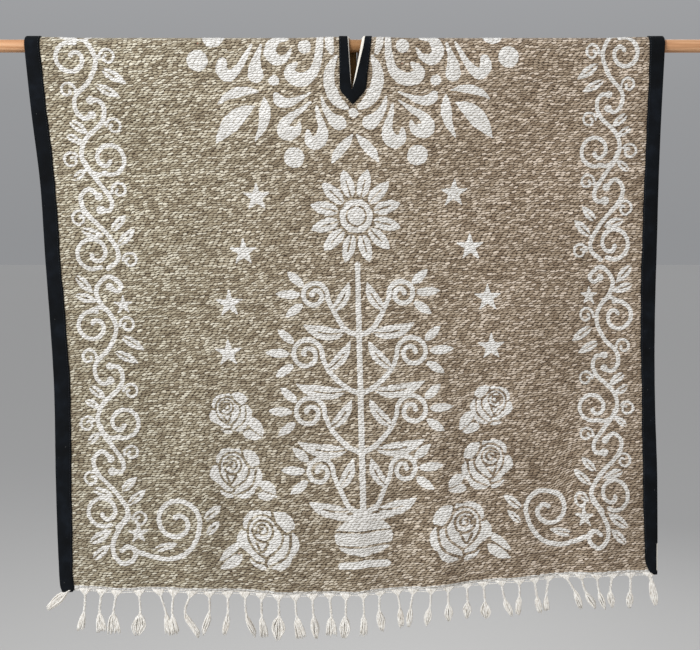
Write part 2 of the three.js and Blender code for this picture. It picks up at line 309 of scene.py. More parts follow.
def soft(value, low, high):
    t = np.clip((value - low) / (high - low), 0, 1)
    return t * t * (3 - 2 * t)


print("front drop in the middle, mm:", round(float(read(HEM, 1, 0.0))))

# %% [markdown]
# ## Creases
# The solids carry the broad folds. Small creases are placed here one by one, each as a soft ridge with its
# own length, height and slant: the band where the cloth was once folded flat, a few drag lines above the
# hem, and others like them on the hidden back. A weak waviness with fixed phases keeps no stretch flat.

# %% Creases and waviness
# side, across, depth, length, half width, height, slant in degrees from level
CREASES = (
    (1, -330, 462, 330, 9, 1.1, -2), (1, 120, 470, 380, 10, -0.9, 1), (1, 420, 505, 260, 9, 1.0, 3),
    (1, 12, 930, 120, 8, 1.5, 58), (1, -22, 965, 90, 7, -1.1, 50), (1, 150, 800, 210, 13, 1.6, 74),
    (1, 232, 760, 170, 12, -1.2, 80), (1, -505, 700, 240, 11, 1.2, 84), (1, 505, 640, 260, 11, 1.1, 95),
    (1, -90, 250, 200, 14, 1.0, 12), (1, 160, 300, 230, 14, -0.9, -9), (1, -430, 905, 160, 10, 1.3, 62),
    (1, 330, 930, 140, 9, 1.2, 104), (-1, -300, 450, 340, 10, 1.1, 2), (-1, 160, 452, 360, 9, -1.0, -1),
    (-1, -120, 740, 220, 12, 1.5, 78), (-1, 240, 690, 240, 12, 1.4, 98), (-1, 20, 840, 130, 8, -1.2, 55),
    (-1, 420, 800, 170, 10, 1.2, 70), (-1, -460, 620, 210, 11, 1.1, 88),
)
# height, wave across, wave down, phase
WAVES = ((0.55, 310, 420, 0.4), (0.40, 173, 260, 2.1), (0.26, 97, 150, 4.4), (0.16, 52, 68, 1.2),
         (0.10, 29, 41, 5.3))
WAVES_FULL = (60, 260)


def creases(x, depth, side):
    out = np.zeros(np.broadcast(x, depth).shape)
    for face, across, down, length, half, height, slant in CREASES:
        turn = math.radians(slant)
        along = (x - across) * math.cos(turn) + (depth - down) * math.sin(turn)
        aside = (depth - down) * math.cos(turn) - (x - across) * math.sin(turn)
        reach = soft(length / 2 - np.abs(along), 0, length / 3)
        out += np.where(side == face, height * reach * np.exp(-((aside / half) ** 2)), 0)
    for height, wide, tall, phase in WAVES:
        wave = np.sin(ROUND * x / wide + phase + side) * np.sin(ROUND * depth / tall + 2 * phase)
        out += height * wave * soft(depth, *WAVES_FULL)
    return out


# %% The surface
STEP_ASIDE = 0.5


def edge(side, depth):
    return read(EDGES, 1 if side < 0 else 2, depth)


def drop(x, back):
    return read(HEM, 1, x) - np.where(back, BACK_SHORTER, 0)


def lift(x, depth):
    """How much further out the cloth lies over the hidden legs of the tapes."""
    from_edge = np.minimum(x - edge(-1, depth), edge(1, depth) - x)
    by_side = 1 - soft(from_edge, FLAT_BY_TAPE, LIFT_ENDS)
    by_neck = (1 - soft(np.abs(x), FLAT_BY_TAPE, LIFT_ENDS)) * (1 - soft(depth, *NECK_LIFT_FADES))
    return TAPE_LIFT * np.maximum(by_side, by_neck)


def broad_folds(x, depth, side):
    out = np.zeros(np.broadcast(x, depth).shape)
    for face, across, width, height, start in FOLDS:
        aside = (x - across) / width
        shape = np.where(np.abs(aside) < 0.5, np.cos(np.pi * aside) ** 2, 0)
        out += np.where(side == face, height * shape * soft(depth, start, FOLDS_FULL), 0)
    return out


def depth_at(run):
    """How far below the turn over the rod a place along the cloth lies."""
    return np.maximum(0.0, np.abs(run) - QUARTER)


def middle(x, run):
    """The middle of the cloth. run is the distance along it from the top of the rod, front positive."""
    side = np.where(run < 0, -1.0, 1.0)
    depth = depth_at(run)
    angle = np.clip(run / QUARTER, -1, 1) * math.pi / 2
    radius = FOLD_RADIUS + lift(x, depth)
    out = broad_folds(x, depth, side) + creases(x, depth, side)
    return np.stack([x, -radius * np.sin(angle) - side * out, radius * np.cos(angle) - depth], -1)


def surface(x, run, out=0.0):
    """A point at a distance off the cloth's middle, outwards positive."""
    x, run, out = np.broadcast_arrays(*(np.asarray(value, float) for value in (x, run, out)))
    across = middle(x + STEP_ASIDE, run) - middle(x - STEP_ASIDE, run)
    up = middle(x, run - STEP_ASIDE) - middle(x, run + STEP_ASIDE)
    normal = np.cross(across, up)
    normal /= np.linalg.norm(normal, axis=-1, keepdims=True)
    return middle(x, run) + normal * out[..., None]


print("top of the cloth over the rod, mm:", np.round(surface(200.0, 0.0, HALF_WALL), 1))

# %% [markdown]
# ## The woven figure
# The cream figure is part of the weave: scrolls and leaves down both sides, a spray round the neck, stars,
# roses, and a tall flowering stem in the middle. Each is drawn as strokes of changing width, with cuts for
# the tan lines inside them. What a mesh needs is how far each point lies inside or outside the figure, in
# millimetres, so every stroke answers with that. One quarter is drawn and mirrored, as a loom repeats it.

# %% Strokes
STROKES = []
CUTS = []
THINNEST = 0.2
STEPS_BETWEEN = 6
CURL_STEPS = 22


def through(points):
    """A smooth path through rows of across, along and half width."""
    rows = np.array(points, float)
    if len(rows) < 3:
        return rows
    padded = np.vstack([2 * rows[0] - rows[1], rows, 2 * rows[-1] - rows[-2]])
    path = []
    for i in range(1, len(padded) - 2):
        before, start, end, after = padded[i - 1:i + 3]
        square = 2 * before - 5 * start + 4 * end - after
        cube = 3 * start - before - 3 * end + after
        for t in np.linspace(0, 1, STEPS_BETWEEN, endpoint=False):
            path.append(0.5 * (2 * start + (end - before) * t + square * t ** 2 + cube * t ** 3))
    path.append(rows[-1])
    return np.array(path)


def stroke(points, smooth=True, into=STROKES):
    path = through(points) if smooth else np.array(points, float)
    path[:, 2] = np.maximum(path[:, 2], THINNEST)
    into.append(path)


def cut(points, smooth=True):
    stroke(points, smooth, CUTS)


def dot(across, along, radius):
    stroke([(across, along, radius)], smooth=False)


def away(across, along, reach, degrees):
    """The place at a reach from another. Degrees turn from the way across towards the hem."""
    turn = math.radians(degrees)
    return across + reach * math.cos(turn), along + reach * math.sin(turn)


def curl(across, along, radius, start, turns, width=4.0, inner=0.14, power=5.0):
    """A spiral that winds in from its outer radius, from a start in degrees."""
    rows = []
    for t in np.linspace(0, 1, int(abs(turns) * CURL_STEPS)):
        reach = radius * (1 - (1 - inner) * t ** power)
        rows.append((*away(across, along, reach, start + 360 * turns * t), width))
    stroke(rows, smooth=False)
    dot(rows[-1][0], rows[-1][1], width * 1.2)


# share of a leaf's length, share of its half width
LEAF_SHAPE = ((0, 0.20), (0.16, 0.74), (0.38, 1.0), (0.62, 0.90), (0.82, 0.56), (1, 0.10))


def leaf(base, tip, half, bow=0.0, rib=1.5):
    """A leaf from base to tip, bowed sideways, with a tan rib that opens at its base."""
    (x0, y0), (x1, y1) = base, tip
    rows = []
    for t, wide in LEAF_SHAPE:
        bent = bow * 4 * t * (1 - t)
        x = x0 + (x1 - x0) * t - (y1 - y0) * bent
        y = y0 + (y1 - y0) * t + (x1 - x0) * bent
        rows.append((x, y, half * wide))
    stroke(rows)
    if rib:
        cut([(x, y, rib) for x, y, _ in rows[:4]])


STAR_WAIST, STAR_TIP = 0.36, 1.3


def star(across, along, radius):
    for degrees in range(-90, 270, 72):
        tip = (*away(across, along, radius, degrees), STAR_TIP)
        stroke([(across, along, radius * STAR_WAIST), tip], smooth=False)


# A rose of radius 1: petals as to the right, down and radius, then the lines between the petals.
ROSE_PETALS = ((-0.02, -0.04, 0.80), (-0.34, -0.50, 0.49), (0.06, -0.62, 0.36), (0.42, -0.44, 0.52),
               (0.62, 0.12, 0.46), (0.34, 0.50, 0.49), (-0.20, 0.56, 0.44), (-0.60, 0.04, 0.45))
HEART = (-0.15, -0.30)
# of the heart's lines: reach at both ends, degrees at both ends, points
HEART_ARCS = (((0.52, 0.52), -182, -25, 18), ((0.355, 0.355), -150, 190, 26), ((0.25, 0.07), -200, 260, 22))
ROSE_LINES = (((-0.67, -0.30), (-0.64, 0.02), (-0.44, 0.34), (-0.16, 0.56), (0.02, 0.60)),
              ((0.30, -0.52), (0.52, -0.20), (0.46, 0.13), (0.25, 0.38), (-0.02, 0.60), (-0.06, 0.74)),
              ((0.80, -0.20), (0.76, 0.22), (0.62, 0.52), (0.38, 0.71), (0.06, 0.86)),
              ((0.18, -0.94), (0.27, -0.62), (0.50, -0.34), (0.64, -0.24), (0.95, -0.36)),
              ((-0.92, -0.40), (-0.74, -0.30)),
              ((-0.98, 0.30), (-0.70, 0.50), (-0.44, 0.74), (-0.12, 0.80), (0.02, 0.97)),
              ((-0.38, 0.12), (-0.18, 0.42), (0.03, 0.10)))
LINE_HALF = 0.045
LEAF_GAP_HALF = 1.5


def heart_arc(reach, start, end, count):
    """Points round the heart, the reach changing evenly from its first value to its second."""
    t = np.linspace(0, 1, count)
    turn = np.radians(start + (end - start) * t)
    along = reach[0] + (reach[1] - reach[0]) * t
    return list(zip(HEART[0] + along * np.cos(turn), HEART[1] + along * np.sin(turn)))


def rose(across, along, radius, turn):
    """A rose in profile: overlapping petals, and a wound heart that sits above the middle."""
    turn_cos, turn_sin = math.cos(math.radians(turn)), math.sin(math.radians(turn))

    def place(right, down):
        return (across - radius * (right * turn_cos - down * turn_sin),
                along + radius * (right * turn_sin + down * turn_cos))

    for right, down, reach in ROSE_PETALS:
        dot(*place(right, down), radius * reach)
    for lines, smooth in (([heart_arc(*row) for row in HEART_ARCS], False), (ROSE_LINES, True)):
        for line in lines:
            cut([(*place(right, down), radius * LINE_HALF) for right, down in line], smooth)


def rose_leaves(across, along, leaves):
    """Two blunt leaves beside a rose and the gap between, from its middle: right and down, base to tip."""
    for x0, y0, x1, y1, half in leaves:
        leaf((across - x0, along + y0), (across - x1, along + y1), half, 0.05, 0)
    x0, y0, x1, y1 = np.mean([row[:4] for row in leaves], axis=0)
    cut([(across - x0, along + y0, LEAF_GAP_HALF), (across - x1, along + y1, LEAF_GAP_HALF)], smooth=False)


# %% Scrolls and leaves of the side borders
SCROLL_REPEAT = 500
SCROLL_REPEATS = 2
STEM = 4.2
# across, along, radius, where it leaves the stem, turns
LARGE_CURLS = ((513, 31, 27, -110, 1.04), (460, 221, 28, 62, 1.10), (504, 396, 29, 120, -1.15))
LEAVES_AT_CORNER = 8
SMALL_CURLS = ((447, 31, 13.4, 10, -1.1), (523, 91, 13.4, 165, 1.0), (446, 159, 13.4, 0, -1.1),
               (531, 219, 13.4, 205, 1.15), (447, 278, 13.4, 20, -1.1), (525, 328, 13.6, 205, 1.1),
               (434, 409, 13.0, 0, -1.15))
SMALL_WIDTH = 2.5
# base, tip, half width
BORDER_LEAVES = (((457, 54), (417, 81), 9.0), ((470, 84), (430, 105), 8.4), ((524, 149), (496, 171), 8.6),
                 ((533, 174), (506, 190), 7.4), ((529, 256), (507, 238), 7.6), ((464, 352), (438, 326), 8.4),
                 ((453, 379), (422, 352), 9.0), ((521, 350), (483, 364), 9.0), ((538, 438), (510, 468), 9.0),
                 ((540, 473), (502, 486), 8.4))
STEM_PATHS = (
    # paths of across and along, each ending in a bud
    ((514, 4), (494, -3), (477, 12), (468, 41), (484, 76), (511, 104), (512, 130), (498, 144), (484, 137)),
    ((485, 110), (468, 112), (460, 130), (469, 154), (500, 182), (511, 209), (504, 234), (480, 268),
     (463, 294), (465, 314), (484, 314)),
    ((486, 289), (503, 274), (520, 290), (512, 318), (478, 355), (457, 389), (458, 410), (477, 425)),
    ((506, 224), (499, 240), (486, 248), (469, 246)),
)
HOOK = ((476, -41), (462, -32), (454, -44), (478, -61), (502, -37), (495, -10), (477, 12))
BUDS = ((484, 137, 7.6), (485, 110, 7.2), (484, 314, 8.4), (486, 289, 7.6))


def border(down, whole=True):
    for path in STEM_PATHS:
        stroke([(x, y + down, STEM) for x, y in path])
    for x, y, radius in BUDS:
        dot(x, y + down, radius)
    for x, y, radius, start, turns in LARGE_CURLS:
        curl(x, y + down, radius, start, turns)
    for x, y, radius, start, turns in SMALL_CURLS:
        curl(x, y + down, radius, start, turns, SMALL_WIDTH, 0.24, 3.6)
    for (x0, y0), (x1, y1), half in BORDER_LEAVES[:None if whole else LEAVES_AT_CORNER]:
        leaf((x0, y0 + down), (x1, y1 + down), half)


for repeat in range(SCROLL_REPEATS):
    border(SCROLL_REPEAT * repeat, whole=repeat < SCROLL_REPEATS - 1)
stroke([(x, y + SCROLL_REPEAT, STEM) for x, y in HOOK])
dot(476, SCROLL_REPEAT - 41, 7.2)
star(452, 494, 17)

# %% Corners, where the border turns under the roses
CORNER_WIDTH = 4.6
CORNER_STEMS = (
    ((457, 902), (474, 930), (486, 956), (485, 980), (468, 998), (448, 990), (444, 972), (458, 964),
     (470, 972)),
    ((446, 972), (412, 985), (379, 990), (346, 978), (324, 950), (316, 918)),
)
CORNER_LEAVES = (((407, 971), (362, 959), 7.6), ((306, 908), (276, 884), 9.0), ((302, 938), (280, 914), 7.6),
                 ((530, 958), (490, 932), 10.0), ((526, 991), (494, 962), 9.0))
for path in CORNER_STEMS:
    stroke([(x, y, CORNER_WIDTH) for x, y in path])
curl(361, 916, 45, 180, 1.30, CORNER_WIDTH, 0.20, 1.5)
for base, tip, half in CORNER_LEAVES:
    leaf(base, tip, half)
star(437, 938, 19)

# %% Stars and roses
for across, along in ((188, 298), (217, 400), (248, 497), (254, 591)):
    star(across, along, 25)
# across, along, radius, turn, and the two leaves
ROSES = ((254, 706, 39, -8, ((26, 41, 60, 50, 9.5), (38, 12, 62, 47, 10.5))),
         (245, 822, 48, 4, ((43, 44, 78, 43, 9), (50, 20, 76, 39, 10.5))),
         (187, 948, 57, 0, ((-58, 10, -94, 42, 9.5), (-52, 32, -93, 58, 10))))
for across, along, radius, turn, _ in ROSES:
    rose(across, along, radius, turn)
for across, along, _, _, leaves in ROSES:
    rose_leaves(across, along, leaves)

# %% Spray round the neck
# across, along, radius
NECK_DOTS = ((253, 0, 20), (283, 43, 19.5), (145, 83, 10), (87, 23, 12.5), (114, 226, 19), (0, 146, 9))
NECK_STROKES = (
    # rows of across, along, half width
    ((183, 17, 2.3), (196, 39, 4.9), (210, 60, 7), (228, 73, 10.8), (240, 61, 11), (238, 47, 9)),
    ((166, 18, 2.3), (174, 39, 6.4), (178, 58, 11.6), (178, 72, 14.6)),
    ((120, 7, 4.5), (140, 10, 9), (150, 31, 11), (139, 46, 10), (122, 42, 6), (112, 27, 2)),
    ((55, 3, 7.3), (60, 41, 8), (70, 67, 9.6), (89, 82, 12.4), (109, 79, 12.4), (116, 66, 9.6),
     (104, 54, 4)),
    ((36, 2, 9), (36, 22, 8.6), (32, 34, 5)),
    ((24, 43, 3.4), (38, 66, 9.6), (41, 89, 11.4), (36, 112, 11.6), (25, 128, 9.4), (12, 136, 5)),
    ((249, 123, 1.8), (234, 111, 6.4), (213, 103, 9.2), (193, 101, 6.8), (175, 103, 1.8)),
    ((184, 130, 1.8), (208, 142, 13), (228, 160, 16), (246, 180, 9), (257, 194, 1.2)),
    ((164, 114, 1.8), (164, 140, 10.4), (169, 165, 8.4), (185, 194, 1.4)),
    ((142, 110, 6), (136, 121, 10.6), (122, 125, 8.8), (101, 118, 5.4), (80, 108, 1.8)),
    ((79, 124, 1.8), (98, 139, 5.2), (117, 151, 7.6), (130, 165, 10.2), (130, 178, 13.2), (120, 181, 13.2),
     (105, 176, 7), (101, 163, 3)),
    ((68, 131, 1.8), (66, 148, 4.6), (60, 168, 7.4), (60, 188, 11.4), (71, 200, 13.2), (84, 195, 9.2),
     (86, 178, 3.4)),
    ((58, 117, 1.8), (53, 134, 5.2), (43, 152, 8.6), (28, 165, 13.8)),
    ((4, 187, 1.8), (17, 203, 8.4), (32, 220, 8.4), (43, 237, 1.8)),
)
for across, along, radius in NECK_DOTS:
    dot(across, along, radius)
for rows in NECK_STROKES:
    stroke(rows)

# %% A woven cream band along the hem
stroke([(0, 1050, 4.4), (559, 1050, 4.4)], smooth=False)

# %% A flowering stem in the middle
FLOWER_AT = 338
HEART_RADIUS, HEART_RING, PETALS_FROM, PETALS_TO = 32, 19, 38, 88
dot(0, FLOWER_AT, HEART_RADIUS)
ring = [away(0, FLOWER_AT, HEART_RING, math.degrees(a)) for a in np.linspace(-1.6, 1.6, 15)]
cut([(x, y, 1.9) for x, y in ring], smooth=False)
for degrees in range(-75, 90, 30):
    leaf(away(0, FLOWER_AT, PETALS_FROM, degrees), away(0, FLOWER_AT, PETALS_TO, degrees), 12.5)
stroke([(0, 428, 5), (0, 905, 6)], smooth=False)
# along, reach of the curl's middle, its radius
BRANCHES = ((486, 84, 25), (598, 102, 30), (710, 100, 30), (822, 82, 26))
for along, reach, radius in BRANCHES:
    stroke([(0, along + 78, 5), (26, along + 66, 4.8), (reach - radius - 14, along + 36, 4.6),
            (reach - radius - 1, along + 8, 4.4), (reach - radius, along - 4, 4.2)])
    curl(reach, along, radius, 180, 1.45, 4.4, 0.2, 1.6)
    leaf((30, along + 72), (reach + 22, along + 56), 13, 0.10)
    leaf((reach - radius - 12, along + 28), (18, along - 22), 11, -0.08)
    for degrees, length in ((-42, 38), (-4, 44), (34, 38)):
        base = away(reach, along, radius + 5, degrees)
        leaf(base, away(*base, length, degrees), 8.5, rib=0)
# the pot: its body, rim and foot, and two bands
for rows in (((0, 946, 34), (26, 944, 30)), ((0, 908, 6), (50, 906, 6)), ((0, 994, 7), (44, 997, 7))):
    stroke(rows, smooth=False)
for rows in (((0, 934, 2), (64, 932, 2)), ((0, 962, 2), (64, 958, 2))):
    cut(rows, smooth=False)
print("strokes:", len(STROKES), "cuts:", len(CUTS))


# %% How far a point lies inside the figure
REACH = 8.0


def inside_by(paths, points, unset):
    """For each point, the deepest it lies inside any of the paths, in mm, negative outside."""
    value = np.full(len(points), unset)
    for path in paths:
        margin = path[:, 2].max() + REACH
        low = path[:, :2].min(0) - margin
        high = path[:, :2].max(0) + margin
        near = np.nonzero(np.all((points > low) & (points < high), 1))[0]
        if not len(near):
            continue
        spot = points[near]
        best = path[0, 2] - np.linalg.norm(spot - path[0, :2], axis=1)
        for start, end in zip(path[:-1], path[1:]):
            way = end[:2] - start[:2]
            t = np.clip(((spot - start[:2]) @ way) / max(way @ way, 1e-9), 0, 1)
            away = np.linalg.norm(spot - start[:2] - t[:, None] * way, axis=1)
            best = np.maximum(best, start[2] + (end[2] - start[2]) * t - away)
        value[near] = np.maximum(value[near], best)
    return value


def figure_at(points):
    return np.minimum(inside_by(STROKES, points, -REACH), -inside_by(CUTS, points, -REACH))


print("on a stem, mm inside:", round(float(figure_at(np.array([[468.0, 41.0]]))[0]), 1))

# %% [markdown]
# ## The cloth
# One quarter of the cloth is meshed flat. Points run along the outline of every stroke, with a second row
# just beside it, so that the figure's edge is crisp, and a coarse grid fills the ground between. The quarter
# is then mirrored to four, laid on the surface and given its inner side, so that it is one closed thin shell
# with a straight cut for the neck.

# %% Points of one quarter
PATTERN_LENGTH = 1050.0
BACK_SHARE = (PATTERN_LENGTH - BACK_SHORTER) / PATTERN_LENGTH
HALF_LEFT = 593.0
HALF_RIGHT = 559.0
COLUMNS = 120
ROWS = 226
GROUND_EVERY = 2
INSIDE_EVERY = 4
FINE_ROWS = 8
STEP_X = HALF_RIGHT / COLUMNS
STEP_Y = PATTERN_LENGTH / ROWS
OUTLINE_STEP = 4.6
BESIDE = 2.0
NEAREST = 1.4
INSET = 1.5
WIDE_STROKE = 9


def unit(ways):
    """Directions of length one."""
    return ways / np.maximum(np.linalg.norm(ways, axis=1, keepdims=True), 1e-9)


def along_path(path):
    """Middles, unit directions and half widths at even steps along a path."""
    steps = np.linalg.norm(np.diff(path[:, :2], axis=0), axis=1)
    way = np.concatenate([[0], np.cumsum(steps)])
    at = np.linspace(0, way[-1], max(3, int(way[-1] / OUTLINE_STEP) + 1))
    rows = np.stack([np.interp(at, way, path[:, k]) for k in range(3)], 1)
    return rows[:, :2], unit(np.gradient(rows[:, :2], axis=0)), rows[:, 2]


def outline_points():
    """Points on the middle of each stroke and cut, on its outline and just beside that."""
    middles = []
    outlines = []
    for path in STROKES + CUTS:
        if len(path) == 1 or np.ptp(path[:, 0]) + np.ptp(path[:, 1]) < 0.5:
            x, y, radius = path[0]
            turn = np.linspace(0, ROUND, max(7, int(ROUND * radius / OUTLINE_STEP)), endpoint=False)
            ring = np.stack([np.cos(turn), np.sin(turn)], 1)
            middles.append([(x, y)])
            outlines += [(x, y) + ring * radius, (x, y) + ring * (radius + BESIDE)]
            continue
        middle_line, heading, half = along_path(path)
        aside = np.stack([-heading[:, 1], heading[:, 0]], 1)
        middles.append(middle_line[half < WIDE_STROKE])
        for reach in (half, half + BESIDE):
            outlines += [middle_line + aside * reach[:, None], middle_line - aside * reach[:, None]]
            for end, sign in ((0, -1), (-1, 1)):
                for slope in (-0.7, 0, 0.7):
                    turned = sign * heading[end] * math.sqrt(1 - slope ** 2) + aside[end] * slope
                    outlines.append([middle_line[end] + turned * reach[end]])
    middles = np.vstack(middles)
    outlines = np.vstack(outlines)
    depth = figure_at(outlines)
    on_edge = np.abs(depth) < 0.7
    beside = (np.abs(depth) > 0.9) & (np.abs(depth) < BESIDE + 0.6)
    found = np.vstack([middles[np.abs(figure_at(middles)) > 0.8], outlines[on_edge], outlines[beside]])
    fits = ((found > INSET) & (found < (HALF_RIGHT - INSET, PATTERN_LENGTH - INSET))).all(1)
    return [tuple(point) for point in found[fits]]


def apart(points, nearest):
    """Drops each point that lies too near one kept before it."""
    tree = kdtree.KDTree(len(points))
    for i, (x, y) in enumerate(points):
        tree.insert((x, y, 0), i)
    tree.balance()
    dropped = set()
    for i, (x, y) in enumerate(points):
        if i not in dropped:
            dropped.update(j for _, j, _ in tree.find_range((x, y, 0), nearest) if j > i)
    return [point for i, point in enumerate(points) if i not in dropped]


grid = np.array([(i * STEP_X, j * STEP_Y) for j in range(ROWS + 1) for i in range(COLUMNS + 1)])
grid_column = np.tile(np.arange(COLUMNS + 1), ROWS + 1)
grid_row = np.repeat(np.arange(ROWS + 1), COLUMNS + 1)
on_border = (grid_column == 0) | (grid_column == COLUMNS) | (grid_row == 0) | (grid_row == ROWS)
border_points = [tuple(point) for point in grid[on_border]]


def ground_points(every):
    """Each few rows and columns of the grid, with every row where the cloth turns over the rod."""
    chosen = (grid_column % every == 0) & ((grid_row % every == 0) | (grid_row <= FINE_ROWS)) & ~on_border
    return [tuple(point) for point in grid[chosen]]


outer_points = apart(border_points + outline_points() + ground_points(GROUND_EVERY), NEAREST)
inner_points = border_points + ground_points(INSIDE_EVERY)
print("points of a quarter, outside and inside:", len(outer_points), len(inner_points))


# %% Triangles of one quarter
def triangles(points):
    found = geometry.delaunay_2d_cdt([Vector(point) for point in points], [], [], 0, 1e-4, False)
    return np.array([vertex[:] for vertex in found[0]]), np.array(found[2])


outer_flat, outer_faces = triangles(outer_points)
inner_flat, inner_faces = triangles(inner_points)
print("triangles of a quarter:", len(outer_faces), len(inner_faces))

# %% Where a pattern point comes to lie
TILT = 0.026
MIDDLE_AT_TOP = -5.0
MIDDLE_DRIFT = 0.024
WIDER_FROM = 547.0
HEM_EVENS_FROM = 0.68
HEM_DEPTH = 1030.0
HEM_MIDDLE = 20
HEM_HALF_LEFT = 580
# the right half hangs differently: pattern places across, and rows of the depth followed by where each of
# them comes to lie and by how much lower than drawn
PLACES = (0, 145, 280, 375, 425, 530, 547, HALF_RIGHT)
RIGHT_ACROSS = (
    (40, 154, 287, 379, 427, 520), (120, 154, 282, 374, 422, 514.5), (200, 149, 277, 370, 418, 512.5),
    (300, 140, 275, 366, 414, 509.5), (400, 142, 277, 366, 413, 507.5), (700, 143, 276, 365, 411.5, 506.5),
    (830, 142, 275, 364, 410.5, 507), (930, 146, 281, 372, 418, 508), (1050, 146, 282, 374, 420, 510))
RIGHT_LOWER = (
    (0, 0, 0, 2, 3, 4), (85, 3, 0, 2, 3, 4), (125, -1.5, -3, 0, 1, 2), (160, -2, -3.5, -1.5, -0.5, 0),
    (280, -2, -4.5, -4.5, -4.5, -4.5), (590, -3, -6, -7, -7.5, -7), (660, -4, -7.5, -10, -14, -13),
    (720, -4.5, -9, -12, -19, -16), (780, -5, -11, -12, -25, -21), (860, -5, -11, -8, -27, -20),
    (905, -4.5, -11, -9, -25, -16), (940, -4, -12, -14, -18, -15), (1050, -4, -9, -13, -16, -15))
EDGE_PLACE_PAST = 16.5
OPENING_SPREADS = 92.0
OPENING_ENDS = 70.0
# distance along the cloth from the rod, left and right lip of the neck opening
OPENING = ((-186, 8, 10.5), (-48, 3.6, 4.0), (-26, 2.8, 4.2), (0, -12.5, 15), (104, -6.8, -4.8))


def neck_run(run):
    """The tables of the neck count a wider turn over the rod than the cloth itself makes."""
    run = np.asarray(run, float)
    return np.where(np.abs(run) < NECK_QUARTER, run * QUARTER / NECK_QUARTER,
                    run - np.sign(run) * (NECK_QUARTER - QUARTER))


def neck_table(table):
    return [(float(neck_run(row[0])), *row[1:]) for row in table]


OPENING = neck_table(OPENING)
CUT_ENDS = (round(OPENING[-1][0] / STEP_Y) * STEP_Y, round(-OPENING[0][0] / BACK_SHARE / STEP_Y) * STEP_Y)


def between_places(across, values):
    """Straight lines between the values that hold at PLACES."""
    total = values[0]
    for k in range(len(PLACES) - 1):
        part = np.clip((across - PLACES[k]) / (PLACES[k + 1] - PLACES[k]), 0, 1)
        total = total + part * (values[k + 1] - values[k])
    return total


def right_across(across, depth):
    rows = [read(RIGHT_ACROSS, k, depth) for k in range(1, 6)]
    outer = edge(1, depth) - MIDDLE_AT_TOP - MIDDLE_DRIFT * depth
    return between_places(across, [0.0 * depth, *rows, rows[-1] + EDGE_PLACE_PAST, outer])


def right_lower(across, depth):
    rows = [read(RIGHT_LOWER, k, depth) for k in range(1, 6)]
    return between_places(across, [0.0 * depth, *rows, rows[-1], rows[-1]])


def lay(across, along, lip):
    """Place across, run along and pattern place of points. lip is -1 or 1 on a side of the cut."""
    on_left = across < 0
    on_back = along < 0
    sign = np.where(on_back, -1.0, 1.0)
    share = np.where(on_back, BACK_SHARE, 1.0)
    down = np.abs(along) * share
    wider = (HALF_LEFT - WIDER_FROM) / (HALF_RIGHT - WIDER_FROM)
    widened = np.where(across < -WIDER_FROM, -WIDER_FROM + (across + WIDER_FROM) * wider, across)
    lower = np.where(on_left, -TILT * widened, right_lower(across, np.where(on_back, 0.0, along)))
    lower_at_hem = np.where(on_left, lower, right_lower(across, np.where(on_back, 0.0, PATTERN_LENGTH)))
    run = sign * down + lower
    right_at_hem = right_across(across, np.full_like(down, HEM_DEPTH)) + HEM_MIDDLE
    rough_x = np.where(on_left, widened / HALF_LEFT * HEM_HALF_LEFT, right_at_hem)
    hem = sign * (QUARTER + drop(rough_x, on_back))
    miss = hem - (sign * PATTERN_LENGTH * share + lower_at_hem)
    run = run + miss * soft(np.abs(along) / PATTERN_LENGTH, HEM_EVENS_FROM, 1.0)
    depth = depth_at(run)
    centre = MIDDLE_AT_TOP + MIDDLE_DRIFT * depth
    on_left_at = widened / HALF_LEFT * (centre - edge(-1, depth))
    weave_across = np.where(on_left, on_left_at, right_across(across, depth))
    x = centre + weave_across
    left = straight(OPENING, 1, run) - TAPE_LIFT
    right = straight(OPENING, 2, run) + TAPE_LIFT
    beyond = np.maximum(run - OPENING[-1][0], OPENING[0][0] - run)
    target = np.where(lip < 0, left, np.where(lip > 0, right, (left + right) / 2))
    far_side = np.where(widened < 0, left, right)
    target = np.where((lip == 0) & (np.abs(widened) > 0.01) & (beyond < 0), far_side, target)
    fade = 1 - soft(np.maximum(0, beyond), 0, OPENING_ENDS)
    x = x + (target - centre) * fade * (1 - soft(np.abs(widened), 0, OPENING_SPREADS))
    return x, run, np.stack([weave_across, sign * down, np.zeros_like(x)], -1)


# %% Four quarters on both sides of the wall
def make_mesh(name, points_mm, faces, outwards=False):
    """A smooth mesh from points in millimetres. outwards turns every face to the outside."""
    mesh = bpy.data.meshes.new(name)
    points = np.reshape(points_mm, (-1, 3)) * MM
    mesh.from_pydata(points.tolist(), [], [list(map(int, face)) for face in faces])
    if outwards:
        shell = bmesh.new()
        shell.from_mesh(mesh)
        bmesh.ops.recalc_face_normals(shell, faces=shell.faces)
        shell.to_mesh(mesh)
        shell.free()
    mesh.polygons.foreach_set("use_smooth", [True] * len(mesh.polygons))
    mesh.validate()
    piece = bpy.data.objects.new(name, mesh)
    bpy.context.collection.objects.link(piece)
    return piece


def keep(piece, name, values, kind="FLOAT"):
    """Stores a value for each point, for the material to read."""
    attribute = piece.data.attributes.new(name, kind, "POINT")
    values = np.asarray(values, float).ravel()
    attribute.data.foreach_set("vector" if kind == "FLOAT_VECTOR" else "value", values)


TINY = 1e-3


